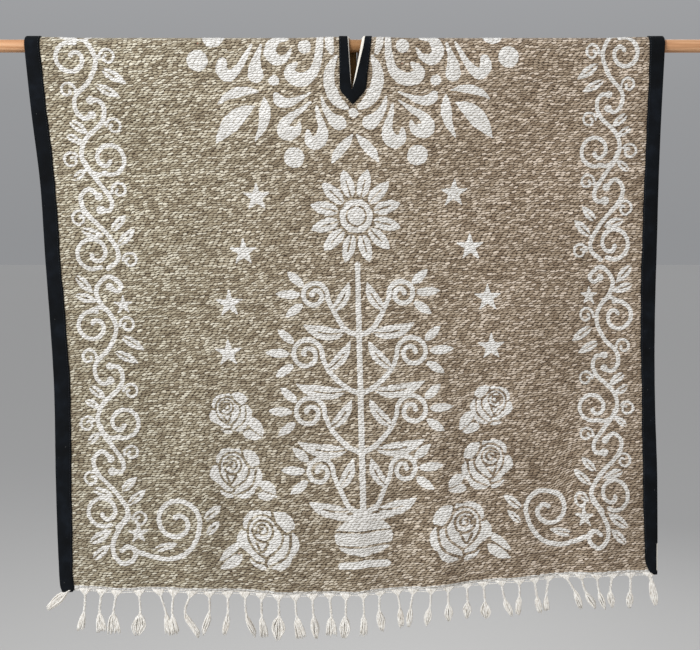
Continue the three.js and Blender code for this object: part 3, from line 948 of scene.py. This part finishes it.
def four_quarters(flat, faces):
    """Mirrors a quarter to four, sharing the points on the fold and on the middle line past the cut."""
    index = {}
    rows = []
    all_faces = []
    for sx, sy in ((-1, -1), (-1, 1), (1, -1), (1, 1)):
        numbers = []
        cut_end = CUT_ENDS[0 if sy > 0 else 1] - TINY
        for x, y in flat:
            lip = sx if x < TINY and y < cut_end else 0
            key = (round(sx * x, 2) + 0.0, round(sy * y, 2) + 0.0, lip)
            if key not in index:
                index[key] = len(rows)
                rows.append((sx * x, sy * y if y > TINY else 0.0, lip))
            numbers.append(index[key])
        turned = faces if sx * sy < 0 else faces[:, ::-1]
        all_faces.append(np.array(numbers)[turned])
    return np.array(rows), np.vstack(all_faces), index


def rim_edges(faces):
    """Edges that only one face uses."""
    edges = np.vstack([faces[:, [0, 1]], faces[:, [1, 2]], faces[:, [2, 0]]])
    _, first, count = np.unique(np.sort(edges, 1), axis=0, return_index=True, return_counts=True)
    return edges[first[count == 1]]


outer_rows, outer_all, outer_index = four_quarters(outer_flat, outer_faces)
inner_rows, inner_all, inner_index = four_quarters(inner_flat, inner_faces)
keys_of_outer = {number: key for key, number in outer_index.items()}
rim = rim_edges(outer_all)
print("triangles outside, inside, rim edges:", len(outer_all), len(inner_all), len(rim))

# %% The shell itself
FIGURE_RELIEF = 0.35
INNER_WEAVE_APART = 400.0
outer_figure = figure_at(np.abs(outer_rows[:, :2]))
x, run, outer_place = lay(*outer_rows.T)
outer_surface = surface(x, run, HALF_WALL + FIGURE_RELIEF * soft(outer_figure, -1.5, 1.5))
x, run, inner_place = lay(*inner_rows.T)
inner_surface = surface(x, run, -HALF_WALL)
shift = len(outer_rows)
rim_faces = []
for a, b in rim:
    inner_a, inner_b = (inner_index[keys_of_outer[end]] + shift for end in (a, b))
    rim_faces += [(b, a, inner_a), (b, inner_a, inner_b)]
cloth_faces = np.vstack([outer_all, inner_all[:, ::-1] + shift, np.array(rim_faces)])
cloth = make_mesh("woven_cloth", np.vstack([outer_surface, inner_surface]), cloth_faces, outwards=True)
no_figure = np.full(len(inner_rows), -REACH)
keep(cloth, "figure", np.concatenate([np.clip(outer_figure, -REACH, REACH), no_figure]))
inner_place += (0, 0, INNER_WEAVE_APART)
keep(cloth, "weave_place", np.vstack([outer_place, inner_place]), "FLOAT_VECTOR")
print("cloth triangles:", len(cloth.data.polygons))

# %% [markdown]
# ## The weave
# Thick soft weft is beaten down in rows about four millimetres high, and each float between two warps shows
# as a slub that lies a little slanted, with shade round it. A slub is worked out here from the place on the
# cloth: rows, staggered cells along each row, and in each cell a tilted oval that is highest in the middle.
# The same oval gives the bump, a painted shade in the gaps and a painted highlight on the crest, and every
# cell has its own tint, so that the figure's edge steps from slub to slub as a woven edge does.

# %% Place on the cloth, a little uneven
WEFT_HEIGHT = 4.4
SLUB_LENGTH = 9.2
SLUB_HALF_LENGTH, SLUB_HALF_HEIGHT = 6.8, 2.15
SLUB_SLANT = math.radians(11)
ROW_STAGGER, ROW_CHANCE = 0.37, 0.8
weave, tree = new_material("woven_cotton")
place = stored(tree, "weave_place", "Vector")
inside = stored(tree, "figure")
wander = noise(tree, place, 0.06, 3.0, roughness=0.65).outputs["Color"]
wander = add(tree, "ShaderNodeVectorMath", {0: wander, 1: (0.5, 0.5, 0.5)}, operation="SUBTRACT").outputs[0]
wander_mm = add(tree, "ShaderNodeVectorMath", {0: wander, 1: (12.0, 9.0, 0.0)}, operation="MULTIPLY")
uneven = add(tree, "ShaderNodeVectorMath", {0: place, 1: wander_mm.outputs[0]}, operation="ADD").outputs[0]
across_cloth, down_cloth, side_of_cloth = split(uneven)

# %% One slub in each cell of each row
rows_down = calc("DIVIDE", down_cloth, WEFT_HEIGHT)
row = calc("FLOOR", rows_down)
row_chance = add(tree, "ShaderNodeTexWhiteNoise", {"W": row}, noise_dimensions="1D").outputs["Value"]
stagger = plus(times(row, ROW_STAGGER), times(row_chance, ROW_CHANCE))
cells_along = plus(calc("DIVIDE", across_cloth, SLUB_LENGTH), stagger)
cell = calc("FLOOR", cells_along)
cell_number = add(tree, "ShaderNodeCombineXYZ", {"X": cell, "Y": row, "Z": times(side_of_cloth, 3.1)})
chance = add(tree, "ShaderNodeTexWhiteNoise", {"Vector": cell_number.outputs[0]}, noise_dimensions="3D")
tint = chance.outputs["Value"]
jump = add(tree, "ShaderNodeSeparateColor", {"Color": chance.outputs["Color"]}).outputs[1]
along_cell = times(minus(minus(cells_along, cell), 0.5), SLUB_LENGTH)
down_cell = times(minus(minus(rows_down, row), 0.5), WEFT_HEIGHT)
down_cell = plus(down_cell, times(minus(jump, 0.5), 0.9))
slant_cos, slant_sin = math.cos(SLUB_SLANT), math.sin(SLUB_SLANT)
lengthwise = minus(times(along_cell, slant_cos), times(down_cell, slant_sin))
crosswise = plus(times(down_cell, slant_cos), times(along_cell, slant_sin))
shares = [calc("POWER", calc("ABSOLUTE", calc("DIVIDE", reach, half)), 2.0)
          for reach, half in ((lengthwise, SLUB_HALF_LENGTH), (crosswise, SLUB_HALF_HEIGHT))]
crown = calc("SQRT", calc("SUBTRACT", 1.0, plus(*shares), clamp=True))

# %% Fibres, blotches and the figure's stepped edge
fibre = noise(tree, uneven, 0.9, 3.0, roughness=0.7).outputs[0]
blotch = noise(tree, place, 0.006, 2.0).outputs[0]
edge_mm = plus(inside, plus(times(minus(tint, 0.5), 1.0), times(minus(fibre, 0.5), 1.4)))
is_figure = step_up(edge_mm, -0.6, 0.6)

# %% Colour of the ground and of the figure
# The crest of each slub is painted paler, a painted highlight; the tint and the fibres are the yarn's own.
tone_with_painted_crest_light = plus(times(tint, 0.36), plus(times(crown, 0.38), times(fibre, 0.36)))
ground = ramp(tone_with_painted_crest_light, shades((0.26, 80, 66, 50), (0.50, 134, 120, 100), (0.70, 176, 165, 144),
                             (0.92, 240, 234, 220)))
# Painted light on the ground colour: warmer and darker towards the right half, a painted warm bounce light
# and shade, and darker towards the hem, a painted shade.
at_across, at_down, _ = split(place)
shade = blend(step_up(at_across, -480.0, 380.0), (0.93, 0.94, 0.90, 1), (0.925, 0.845, 0.82, 1))
painted_shade_towards_hem = blend(step_up(calc("ABSOLUTE", at_down), 60.0, 900.0), grey(1.03), grey(0.955))
ground = tinted(ground, tinted(shade, painted_shade_towards_hem))
cream = ramp(tone_with_painted_crest_light, shades((0.22, 188, 184, 177), (0.52, 223, 221, 216), (0.95, 250, 249, 246)))
colour = blend(is_figure, ground, cream)
# Painted shade in the gaps between the slubs, on the ground and on the figure.
painted_gap_shade = blend(is_figure, daylight(52, 39, 27), daylight(166, 160, 150))
colour = blend(times(minus(1.0, step_up(crown, 0.0, 0.55)), 0.85), colour, painted_gap_shade)
colour = tinted(colour, ramp(blotch, ((0.35, (0.93, 0.925, 0.915, 1)), (0.65, grey(1.04)))))

# %% A few red and black flecks spun into the yarn
specks = add(tree, "ShaderNodeTexVoronoi", {"Vector": place, "Scale": 0.021, "Randomness": 1.0})
is_speck = calc("LESS_THAN", specks.outputs["Distance"], 0.028)
picked = add(tree, "ShaderNodeSeparateColor", {"Color": specks.outputs["Color"]}).outputs
# which chance picks it, how rare, how strong, colour
for number, rare, strong, fleck in ((0, 0.90, 0.7, (150, 60, 48)), (1, 0.86, 0.8, (38, 32, 30))):
    share = times(times(is_speck, calc("GREATER_THAN", picked[number], rare)), strong)
    colour = blend(share, colour, daylight(*fleck))
finish_material(tree, colour, 0.92, plus(crown, times(fibre, 0.5)), 1.5, sheen=0.1)
dress(cloth, weave, "cloth")
print("slubs across the cloth:", round((HALF_LEFT + HALF_RIGHT) / SLUB_LENGTH))

# %% [markdown]
# ## Black tapes
# Each side edge is bound with a black cotton tape folded over it, and the neck opening with a narrower one
# that is mitred to a point at both ends. A tape is swept from one cross-section: a flat leg on the face, a
# round turn at the edge and a leg behind, with a gap in which the cloth's edge lies. Small puckers stand
# where the sewing draws it in.

# %% Cross-section of a folded tape
TURN_POINTS = 7
LEG_POINTS = 6
FLATTER = 0.98
NEXT_TO_CLOTH = TAPE_INSIDE + 0.1
BEHIND = -0.4


def tape_leg(width, reach, thick):
    """One side of the tape's wall: in along a leg, round the fold and back along the other leg."""
    legs = np.linspace(width, thick + reach, LEG_POINTS)
    turn = np.linspace(math.pi / 2, -math.pi / 2, TURN_POINTS)
    round_turn = [(thick + reach * (1 - FLATTER * math.cos(t)), reach * math.sin(t)) for t in turn]
    return [(a, reach) for a in legs[:-1]] + round_turn + [(a, -reach) for a in legs[::-1][1:]]


def tape_section(width):
    """Rows of distance in from the fold and distance off the cloth's middle, round the tape's outline."""
    inner = [(a, -out) for a, out in tape_leg(width, TAPE_INSIDE, TAPE_THICKNESS)]
    return np.array(tape_leg(width, TAPE_OUTSIDE, 0.0) + inner)


def swept(rings, closed):
    """Faces between rings of points. An open sweep gets a cap on both ends."""
    count, around = rings.shape[:2]
    faces = []
    for i in range(count if closed else count - 1):
        this, after = i * around, (i + 1) % count * around
        for j in range(around):
            k = (j + 1) % around
            faces.append((this + j, this + k, after + k, after + j))
    if not closed:
        half = around // 2
        for base, flip in ((0, False), ((count - 1) * around, True)):
            for j in range(half - 1):
                face = (base + j, base + around - 1 - j, base + around - 2 - j, base + j + 1)
                faces.append(face[::-1] if flip else face)
    return faces


# height, turn for each mm, share of the phase
PUCKERS = ((0.16, 0.52, 1.0), (0.12, 0.83, 2.3), (0.10, 0.21, 4.1))


def pucker(along, phase):
    """Small uneven gathers beside the sewing, in mm."""
    return sum(height * np.sin(along * turn + share * phase) for height, turn, share in PUCKERS)


def puckered(width, along, phase, much):
    """The tape's section, its outer faces a little proud or sunk, more so away from the fold."""
    inward, out = tape_section(width).T
    rise = much * pucker(along, phase) * np.clip(inward / width, 0, 1) ** 2
    return inward, out + np.where(out > 0, rise, -rise) * (np.abs(out) > NEXT_TO_CLOTH)


# %% Side tapes
TAPE_STEP = 4.0
# side, how the end at the hem narrows, over what length, phase of its puckers
SIDE_TAPES = {"left": (-1, 7.0, 10.0, 0.7), "right": (1, 17.0, 44.0, 2.9)}
# depth below the rod, width of the left tape, width of the right tape
TAPE_WIDTHS = ((0, 28.7, 29), (120, 29.6, 27), (250, 28.5, 27.6), (400, 28.9, 28.8), (520, 30.2, 27.5),
               (650, 31.5, 25.8), (800, 30.8, 28.2), (900, 29.5, 27), (1000, 27.4, 24.5))
LEFT_END_LOWER = 6.0
BACK_END_NARROWS, BACK_END_ROUNDING = 4.0, 8.0
LEFT_CORNER_IN, LEFT_CORNER_LENGTH = 3.5, 16
LINING_FROM, LINING_TO, LINING_WIDTH = 8, 64, 2.6
ALL_BLACK = -2.0
PAST_EDGE = 600.0
# The next value marks the neck tape's inside behind the cloth, which is painted warm brown as a painted
# shade.
INSIDE_PAINTED_SHADE = 30.0


def tape_width(side, run):
    uneven = 0.4 * np.sin(run * 0.043 + side) + 0.3 * np.sin(run * 0.121)
    return read(TAPE_WIDTHS, 1 if side < 0 else 2, depth_at(run)) + uneven


def side_tape(name):
    side, narrows, rounding, phase = SIDE_TAPES[name]
    beyond = PAST_EDGE * side
    front_end = QUARTER + float(drop(beyond, False)) + TAPE_PAST_HEM + (LEFT_END_LOWER if side < 0 else 0)
    back_end = QUARTER + float(drop(beyond, True)) + TAPE_PAST_HEM
    runs = np.arange(-back_end, front_end + TAPE_STEP / 2, TAPE_STEP)
    runs[-1] = front_end
    rings = []
    lining_and_shade_marks = []
    for run in runs:
        width = float(tape_width(side, run))
        to_end = min(front_end - run, run + back_end)
        less, reach = (narrows, rounding) if run > 0 else (BACK_END_NARROWS, BACK_END_ROUNDING)
        if to_end < reach:
            width -= less * (1 - math.sqrt(max(0.0, 1 - (1 - to_end / reach) ** 2)))
        inward, out = puckered(width, run, phase, 1.0)
        near_end = max(0.0, 1 - (front_end - run) / LEFT_CORNER_LENGTH) if side < 0 else 0.0
        place = edge(side, depth_at(run)) - side * (inward - TAPE_LIFT + LEFT_CORNER_IN * near_end ** 2)
        rings.append(surface(place, run, out))
        shows = LINING_WIDTH if side > 0 and LINING_FROM < front_end - run < LINING_TO else ALL_BLACK
        lining_and_shade_marks.append(np.where(out < BEHIND, ALL_BLACK, shows - inward))
    rings = np.array(rings)
    tape = make_mesh(f"{name}_tape", rings, swept(rings, closed=False), outwards=True)
    keep(tape, "lining_and_painted_shade", np.array(lining_and_shade_marks) if side > 0 else np.full(rings.shape[:2], ALL_BLACK))
    return tape, runs


left_tape, left_runs = side_tape("left")
right_tape, right_runs = side_tape("right")
print("tape faces:", len(left_tape.data.polygons), len(right_tape.data.polygons))

# %% Neck tape
# distance along the cloth, left and right outline of the tape
NECK_OUTLINE = neck_table(((-214, 9, 10), (-190, -15, 34), (-60, -22, 30), (0, -30, 31.6), (108, -28.6, 20),
                           (134, -5, -4)))
NECK_SECTIONS = 86
FAN_BACK = 26.0
FAN_FRONT = 24.0


def neck_side(column):
    """Pairs of places on the opening's lip and on the tape's outline, from the back end to the front."""
    start, end = OPENING[0][0], OPENING[-1][0]
    first, last = NECK_OUTLINE[0][0], NECK_OUTLINE[-1][0]
    pairs = []
    for t in np.linspace(0, 1, NECK_SECTIONS):
        run = start + (end - start) * t
        back = max(0.0, 1 - (run - start) / FAN_BACK)
        front = max(0.0, 1 - (end - run) / FAN_FRONT)
        run_out = run + (first - start) * back + (last - end) * front
        on_lip = (straight(OPENING, column, run), run)
        pairs.append((on_lip, (straight(NECK_OUTLINE, column, run_out), run_out)))
    return pairs


# distance along the cloth, how much of the pale lining shows past the left lip and past the right one
LINING_PAST = ((-30, 0.4, 0.4), (-8, 1.4, 3.0), (0, 2.0, 5.0), (24, 1.6, 5.0), (80, 1.0, 2.4),
               (104, 0.0, 0.0))
NECK_PUCKER_STEP, NECK_PUCKER_PHASE, NECK_PUCKER_MUCH = 3.4, 1.9, 0.8


def neck_tape():
    lips = [(1, pair) for pair in neck_side(1)] + [(2, pair) for pair in neck_side(2)[::-1]]
    rings = []
    lining_and_shade_marks = []
    for n, (column, ((x0, r0), (x1, r1))) in enumerate(lips):
        width = math.hypot(x1 - x0, r1 - r0)
        inward, out = puckered(width, n * NECK_PUCKER_STEP, NECK_PUCKER_PHASE, NECK_PUCKER_MUCH)
        share = inward / width
        rings.append(surface(x0 + (x1 - x0) * share, r0 + (r1 - r0) * share, out))
        past = float(straight(LINING_PAST, column, r0))
        # Points behind the cloth get a value that turns them warm brown: a painted shade with warm bounce
        # light inside the neck opening.
        lining_and_shade_marks.append(np.where(out < BEHIND, INSIDE_PAINTED_SHADE, past - inward))
    rings = np.array(rings)
    tape = make_mesh("neck_tape", rings, swept(rings, closed=True), outwards=True)
    keep(tape, "lining_and_painted_shade", np.array(lining_and_shade_marks))
    return tape


neck = neck_tape()
print("neck tape faces:", len(neck.data.polygons))


# %% Sewing along the tapes
STITCH_EVERY = 4.6
STITCH_LENGTH = 2.9
STITCH_RADIUS = 0.34
STITCH_INSET = 2.6
SEWN_FROM, SEWN_TO = 30, 40
NECK_SEWN = slice(4, -8, 2)
# how far a stitch's four points stand off the side tapes and off the neck tape
SIDE_STITCH = np.array([-0.2, 0.12, 0.12, -0.2])
NECK_STITCH = np.array([-0.2, 0.15, 0.15, -0.2])


def tubes(paths, radii, sides=5):
    """Round tubes along paths, all in one list of points and faces. radii has a row for each path."""
    points = []
    faces = []
    base = 0
    turns = np.linspace(0, ROUND, sides, endpoint=False)
    for path, radius in zip(paths, radii):
        path = np.asarray(path, float)
        radius = np.broadcast_to(radius, len(path))
        way = unit(np.gradient(path, axis=0))
        aside = unit(np.cross(way, (0.05, 1.0, 0.02)))
        other = np.cross(aside, way)
        ring = (path[:, None] + radius[:, None, None]
                * (aside[:, None] * np.cos(turns)[:, None] + other[:, None] * np.sin(turns)[:, None]))
        points.append(ring.reshape(-1, 3))
        last = base + (len(path) - 1) * sides
        for this in range(base, last, sides):
            for j in range(sides):
                k = (j + 1) % sides
                faces.append((this + j, this + sides + j, this + sides + k, this + k))
        faces.append(tuple(base + j for j in range(sides)))
        faces.append(tuple(last + j for j in reversed(range(sides))))
        base = last + sides
    return np.vstack(points), faces


def stitch_paths():
    paths = []
    for name, runs in (("left", left_runs), ("right", right_runs)):
        side, _, _, phase = SIDE_TAPES[name]
        for run in np.arange(runs[0] + SEWN_FROM, runs[-1] - SEWN_TO, STITCH_EVERY):
            spots = np.linspace(run, run + STITCH_LENGTH, 4)
            width = tape_width(side, spots) - STITCH_INSET
            place = edge(side, depth_at(spots)) - side * (width - TAPE_LIFT)
            paths.append(surface(place, spots, TAPE_OUTSIDE + SIDE_STITCH + pucker(spots, phase) * 0.8))
    for (x0, r0), (x1, r1) in neck_side(1)[NECK_SEWN] + neck_side(2)[NECK_SEWN]:
        share = 1 - STITCH_INSET / math.hypot(x1 - x0, r1 - r0)
        spots = r0 + (r1 - r0) * share + np.linspace(0, STITCH_LENGTH, 4)
        paths.append(surface(x0 + (x1 - x0) * share, spots, TAPE_OUTSIDE + NECK_STITCH))
    return paths


paths = stitch_paths()
stitch_points, stitch_faces = tubes(paths, [STITCH_RADIUS] * len(paths))
stitches = make_mesh("tape_stitches", stitch_points, stitch_faces)
print("stitches:", len(paths))

# %% Black tape cloth
tape_cloth, tree = new_material("black_cotton_tape")
spot = object_place(tree)
twill = bands(tree, spot, 260.0, 1.5, 1.0, "DIAGONAL")
worn = noise(tree, spot, 34.0, 3.0).outputs[0]
lint = add(tree, "ShaderNodeTexVoronoi", {"Vector": spot, "Scale": 55.0, "Randomness": 1.0})
black = ramp(worn, shades((0.30, 7, 8, 9), (0.55, 12, 15, 19), (0.80, 22, 27, 34)))
black = blend(times(twill, 0.2), black, daylight(30, 34, 40))
is_lint = calc("LESS_THAN", lint.outputs["Distance"], 0.03)
black = blend(times(is_lint, 0.5), black, daylight(140, 140, 138))

# %% Its pale lining at the neck and at the lower right corner, and painted shade inside the neck
lining_and_painted_shade = stored(tree, "lining_and_painted_shade")
lining_colour_and_painted_shade = blend(worn, daylight(214, 208, 196), daylight(240, 238, 230))
# The tape's inside behind the cloth is painted warm brown, a painted shade with warm bounce light.
lining_colour_and_painted_shade = blend(step_up(lining_and_painted_shade, 9.0, 14.0), lining_colour_and_painted_shade, daylight(150, 116, 72))
black = blend(step_up(lining_and_painted_shade, -0.25, 0.25), black, lining_colour_and_painted_shade)
finish_material(tree, black, 0.95, plus(twill, times(worn, 2.0)), 0.25, strength=0.7, shine=0.12)
for piece, node in ((left_tape, "binding_left"), (right_tape, "binding_right"), (neck, "neck_binding")):
    dress(piece, tape_cloth, node)

# %% Sewing thread
thread, tree = new_material("black_sewing_thread")
ply = noise(tree, object_place(tree), 700.0, 1.0).outputs[0]
finish_material(tree, blend(ply, daylight(18, 20, 24), daylight(58, 62, 68)), 0.6, ply, 0.1)
dress(stitches, thread)

# %% [markdown]
# ## Fringes
# At each hem the warp ends are gathered in bunches, twisted into a neck and left loose in a tuft. Every
# tassel is made of its own yarns: they start spread along the hem, close into the twisted neck and open
# again at the tip. Two white threads run along under the hem and hold the bunches in their places.

# %% How the tassels hang
# how far the neck's end and the tip swing aside, the width of the loose tuft, and its form
TASSELS = ((-24, -50, 15, "lock"), (-3, -12, 17, "fan"), (-6, -3, 22, "fan"), (-8, -8, 29, "fan"),
           (2, -4, 31, "almond"), (14, 20, 17, "fan"), (-4, 2, 16, "fan"), (-15, 10, 14, "lock"),
           (0, -12, 14, "lock"), (0, -7, 14, "lock"), (3, 18, 14, "lock"), (0, 4, 19, "fan"),
           (1, -2, 31, "almond"), (2, 11, 23, "fan"), (2, 7, 19, "almond"), (4, 4, 25, "fan"),
           (-1, -4, 23, "almond"), (2, 1, 18, "fan"), (-1, 4, 19, "almond"), (6, 9, 15, "lock"),
           (-6, -9, 14, "lock"), (-2, -10, 16, "almond"), (1, 3, 19, "almond"), (2, 1, 19, "almond"),
           (4, 6, 23, "almond"), (8, 20, 16, "lock"),
           (1, -2, 14, "lock"), (6, 13, 14, "lock"), (-5, -4, 13, "fan"), (20, 34, 15, "almond"),
           (10, 29, 14, "almond"), (5, 17, 14, "almond"), (-4, 0, 17, "almond"), (1, -1, 17, "almond"),
           (6, 16, 16, "lock"))
# share of the tuft's length, width of each form
FORMS = {"fan": ((0, 0.20), (0.3, 0.62), (0.7, 0.92), (1, 1.0)),
         "almond": ((0, 0.18), (0.3, 0.72), (0.58, 1.0), (0.82, 0.74), (1, 0.30)),
         "lock": ((0, 0.34), (0.25, 0.78), (0.6, 1.0), (0.85, 0.80), (1, 0.46))}
# number of a tassel, place of its root across. The ones between are evenly spaced.
ROOTS = ((0, -546), (1, -523), (2, -490), (3, -460), (4, -419), (5, -382), (6, -351), (7, -314), (8, -282),
         (9, -247), (10, -214), (22, 180), (23, 217), (24, 249), (25, 283), (26, 318), (27, 347), (28, 377),
         (29, 406), (30, 437), (31, 467), (32, 499), (33, 534), (34, 568))
TASSEL_LENGTH = ((-600, 84), (-400, 92), (0, 90), (160, 72), (600, 68))
CORNER_DROP = 44
BACK_CORNER = (-6, -16)
YARNS, MORE_YARNS, WIDE_TUFT = 16, 4, 20
YARN_RADIUS, OUTER_YARNS_THICKER = 1.4, 1.35
NECK_RADIUS, OUTER_NECK_RADIUS = 2.7, 3.2
# shares of a tassel's length at which its twisted neck starts and ends
NECK_FROM, NECK_TO = 0.14, (0.48, 0.56)
CORNER_NECK = (0.06, 0.20)
LAST_NECK_TO = 0.22
ROOT_HALF = 11.5
YARN_STEPS = 16
GOLDEN_TURN = 2.39996
rng = np.random.default_rng(629)


def hem_point(x, side):
    """The cloth's middle at the hem, at a place across."""
    run = QUARTER + drop(x, side < 0)
    return surface(x, side * run, 0.0)


def tassel(number, side):
    """The yarns of one tassel, as paths and their radii."""
    bend, swing, tuft, form = TASSELS[number]
    corner = number == 0
    at_end = number == len(TASSELS) - 1
    outer = corner or at_end
    root_x = float(straight(ROOTS, 1, number))
    if corner and side < 0:
        bend, swing = BACK_CORNER
    length = CORNER_DROP if corner else float(straight(TASSEL_LENGTH, 1, root_x)) * rng.uniform(0.94, 1.0)
    root = hem_point(root_x, side)
    down = np.linspace(0, 1, YARN_STEPS)
    neck_from, neck_to = CORNER_NECK if corner else (NECK_FROM, rng.uniform(*NECK_TO))
    if at_end:
        neck_to = LAST_NECK_TO
    lean = read(((0, 0), (neck_to, bend * (0.5 if corner else 1)), (1, swing)), 1, down)
    neck_radius = OUTER_NECK_RADIUS if outer else NECK_RADIUS
    thick = YARN_RADIUS * (OUTER_YARNS_THICKER if outer else 1.0)
    spread = soft(down, neck_to - 0.04, neck_to + 0.16)
    wide = straight(FORMS[form], 1, (down - neck_to) / (1 - neck_to)) * (tuft / 2 - YARN_RADIUS)
    gather = 1 - soft(down, 0.0, neck_from + 0.05)
    twist = rng.uniform(2.4, 3.4) * ROUND
    paths = []
    radii = []
    yarns = YARNS + (MORE_YARNS if tuft > WIDE_TUFT or corner else 0)
    for k in range(yarns):
        place = (k + 0.5) / yarns * 2 - 1
        phase = k * GOLDEN_TURN
        ring = neck_radius * (0.45 + 0.55 * (k % 2)) * (1 - YARN_RADIUS / neck_radius * 0.5)
        turn = phase + twist * np.clip((down - neck_from * 0.4) / (neck_to - neck_from * 0.4), 0, 1.15)
        long = length * (1 + rng.uniform(-0.075, 0.03))
        wave = rng.uniform(0.3, 1.2) * np.sin(down * rng.uniform(6, 11) + phase) * spread
        aside = (gather * place * ROOT_HALF + (1 - gather) * (1 - spread) * ring * np.cos(turn)
                 + spread * place * wide + wave)
        deep = 2.2 + 1.6 * (form != "fan")
        outward = ((1 - gather) * (1 - spread) * ring * np.sin(turn)
                   + spread * deep * math.sin(phase * 1.7) + gather * 0.5 * (-1) ** k)
        x = root[0] + lean + aside
        y = root[1] - side * outward
        z = root[2] - 0.2 - down * long
        if corner:
            z = z + 4.6 * math.cos(phase) * soft(down, 0.1, 0.5) * (1 - 0.6 * soft(down, 0.6, 1.0))
        paths.append(np.stack([x, y, z], -1))
        radii.append(thick * (1 - 0.28 * (1 - gather) * (1 - spread)) * (1 - 0.4 * soft(down, 0.9, 1.0)))
    return paths, radii


def hem_threads(side):
    """Two twisted threads under the hem, drawn as two plies each."""
    x = np.arange(-566.0, 583.0, 2.2)
    base = hem_point(x, side)
    paths = []
    radii = []
    # how far below the hem, reach of the twist, radius of a ply, how much the thread sags
    for below, reach, radius, sags in ((1.0, 0.8, 0.85, 0), (5.6, 0.45, 0.5, 1)):
        sag = sags * (0.5 * np.sin(x * 0.061 + below) + 0.35 * np.sin(x * 0.19))
        for ply in (0, math.pi):
            turn = x * 0.9 + ply
            down = below + sag + reach * np.cos(turn)
            paths.append(base + np.stack([0 * x, reach * np.sin(turn), -down], -1))
            radii.append(radius)
    return paths, radii


def fringe(name, side):
    blocks = [tassel(number, side) for number in range(len(TASSELS))] + [hem_threads(side)]
    paths = [path for block, _ in blocks for path in block]
    radii = [radius for _, block in blocks for radius in block]
    return make_mesh(name, *tubes(paths, radii))


front_fringe = fringe("front_fringe", 1)
back_fringe = fringe("back_fringe", -1)
print("fringe faces:", len(front_fringe.data.polygons), len(back_fringe.data.polygons))

# %% Cream yarn
yarn_material, tree = new_material("cream_yarn")
spot = object_place(tree)
strand = add(tree, "ShaderNodeMapping", {"Vector": spot, "Scale": (900, 900, 160)}).outputs[0]
hairs = noise(tree, strand, 1.0, 2.0).outputs[0]
soiled = step_up(noise(tree, spot, 24.0, 2.0).outputs[0], 0.52, 0.78)
yarn_colour = ramp(hairs, shades((0.30, 184, 176, 164), (0.50, 232, 229, 222), (0.72, 250, 249, 246)))
yarn_colour = blend(times(soiled, 0.3), yarn_colour, daylight(192, 178, 160))
finish_material(tree, yarn_colour, 0.9, hairs, 0.3, sheen=0.1)
for piece, node in ((front_fringe, "fringe_front"), (back_fringe, "fringe_back")):
    dress(piece, yarn_material, node)

# %% [markdown]
# ## The rod
# A plain softwood dowel. It is turned finer here than the solid, with a small bevel on both ends and the
# slight unevenness of a hand-sanded stick, never thicker than the solid that the cloth rests on.

# %% Rod
ROD_LEFT, ROD_RIGHT = -745.0, 705.0
ROD_SIDES = 64
ROD_BEVEL = 1.2
ROD_STEP = 12.0


def rod_rings():
    inside = np.arange(ROD_LEFT + ROD_BEVEL, ROD_RIGHT - ROD_BEVEL, ROD_STEP)
    stations = np.concatenate([[ROD_LEFT], inside, [ROD_RIGHT - ROD_BEVEL, ROD_RIGHT]])
    turns = np.linspace(0, ROUND, ROD_SIDES, endpoint=False)
    rings = []
    for x in stations:
        uneven = 0.12 * (1 + np.sin(x * 0.013 + 2 * turns)) + 0.05 * (1 + np.sin(x * 0.05 + 3 * turns))
        radius = ROD_RADIUS - (ROD_BEVEL if x in (ROD_LEFT, ROD_RIGHT) else 0) - uneven
        rings.append(np.stack([np.full(ROD_SIDES, x), radius * np.cos(turns), radius * np.sin(turns)], -1))
    return np.array(rings)


rings = rod_rings()
rod_faces = [face for face in swept(rings, closed=False) if len(set(face)) == 4]
rod = make_mesh("wooden_rod", rings, rod_faces, outwards=True)
print("rod faces:", len(rod.data.polygons))

# %% Pale softwood, with painted shade where the cloth covers it
SHADE_UNDER_CLOTH_FROM, SHADE_UNDER_CLOTH_TO = 0.552, 0.575
wood, tree = new_material("pale_softwood")
spot = object_place(tree)
along_grain = add(tree, "ShaderNodeMapping", {"Vector": spot, "Scale": (6, 190, 190)}).outputs[0]
grain = noise(tree, along_grain, 1.0, 4.0, distortion=0.4).outputs[0]
growth_place = add(tree, "ShaderNodeMapping", {"Vector": spot, "Scale": (1.6, 60, 60)}).outputs[0]
growth = bands(tree, growth_place, 1.0, 4.0, 2.0, "Y")
wood_colour = ramp(grain, shades((0.30, 172, 122, 84), (0.52, 205, 156, 116), (0.75, 224, 182, 142)))
wood_colour = blend(times(growth, 0.28), wood_colour, daylight(168, 116, 74))
# Where the cloth hangs over the rod the wood is painted darker, a painted shade.
painted_shade_under_cloth = minus(1.0, step_up(calc("ABSOLUTE", split(spot)[0]), SHADE_UNDER_CLOTH_FROM, SHADE_UNDER_CLOTH_TO))
wood_colour = blend(times(painted_shade_under_cloth, 0.75), wood_colour, daylight(128, 92, 52))
finish_material(tree, wood_colour, 0.55, plus(grain, times(growth, 0.4)), 0.2)
dress(rod, wood, "rod")
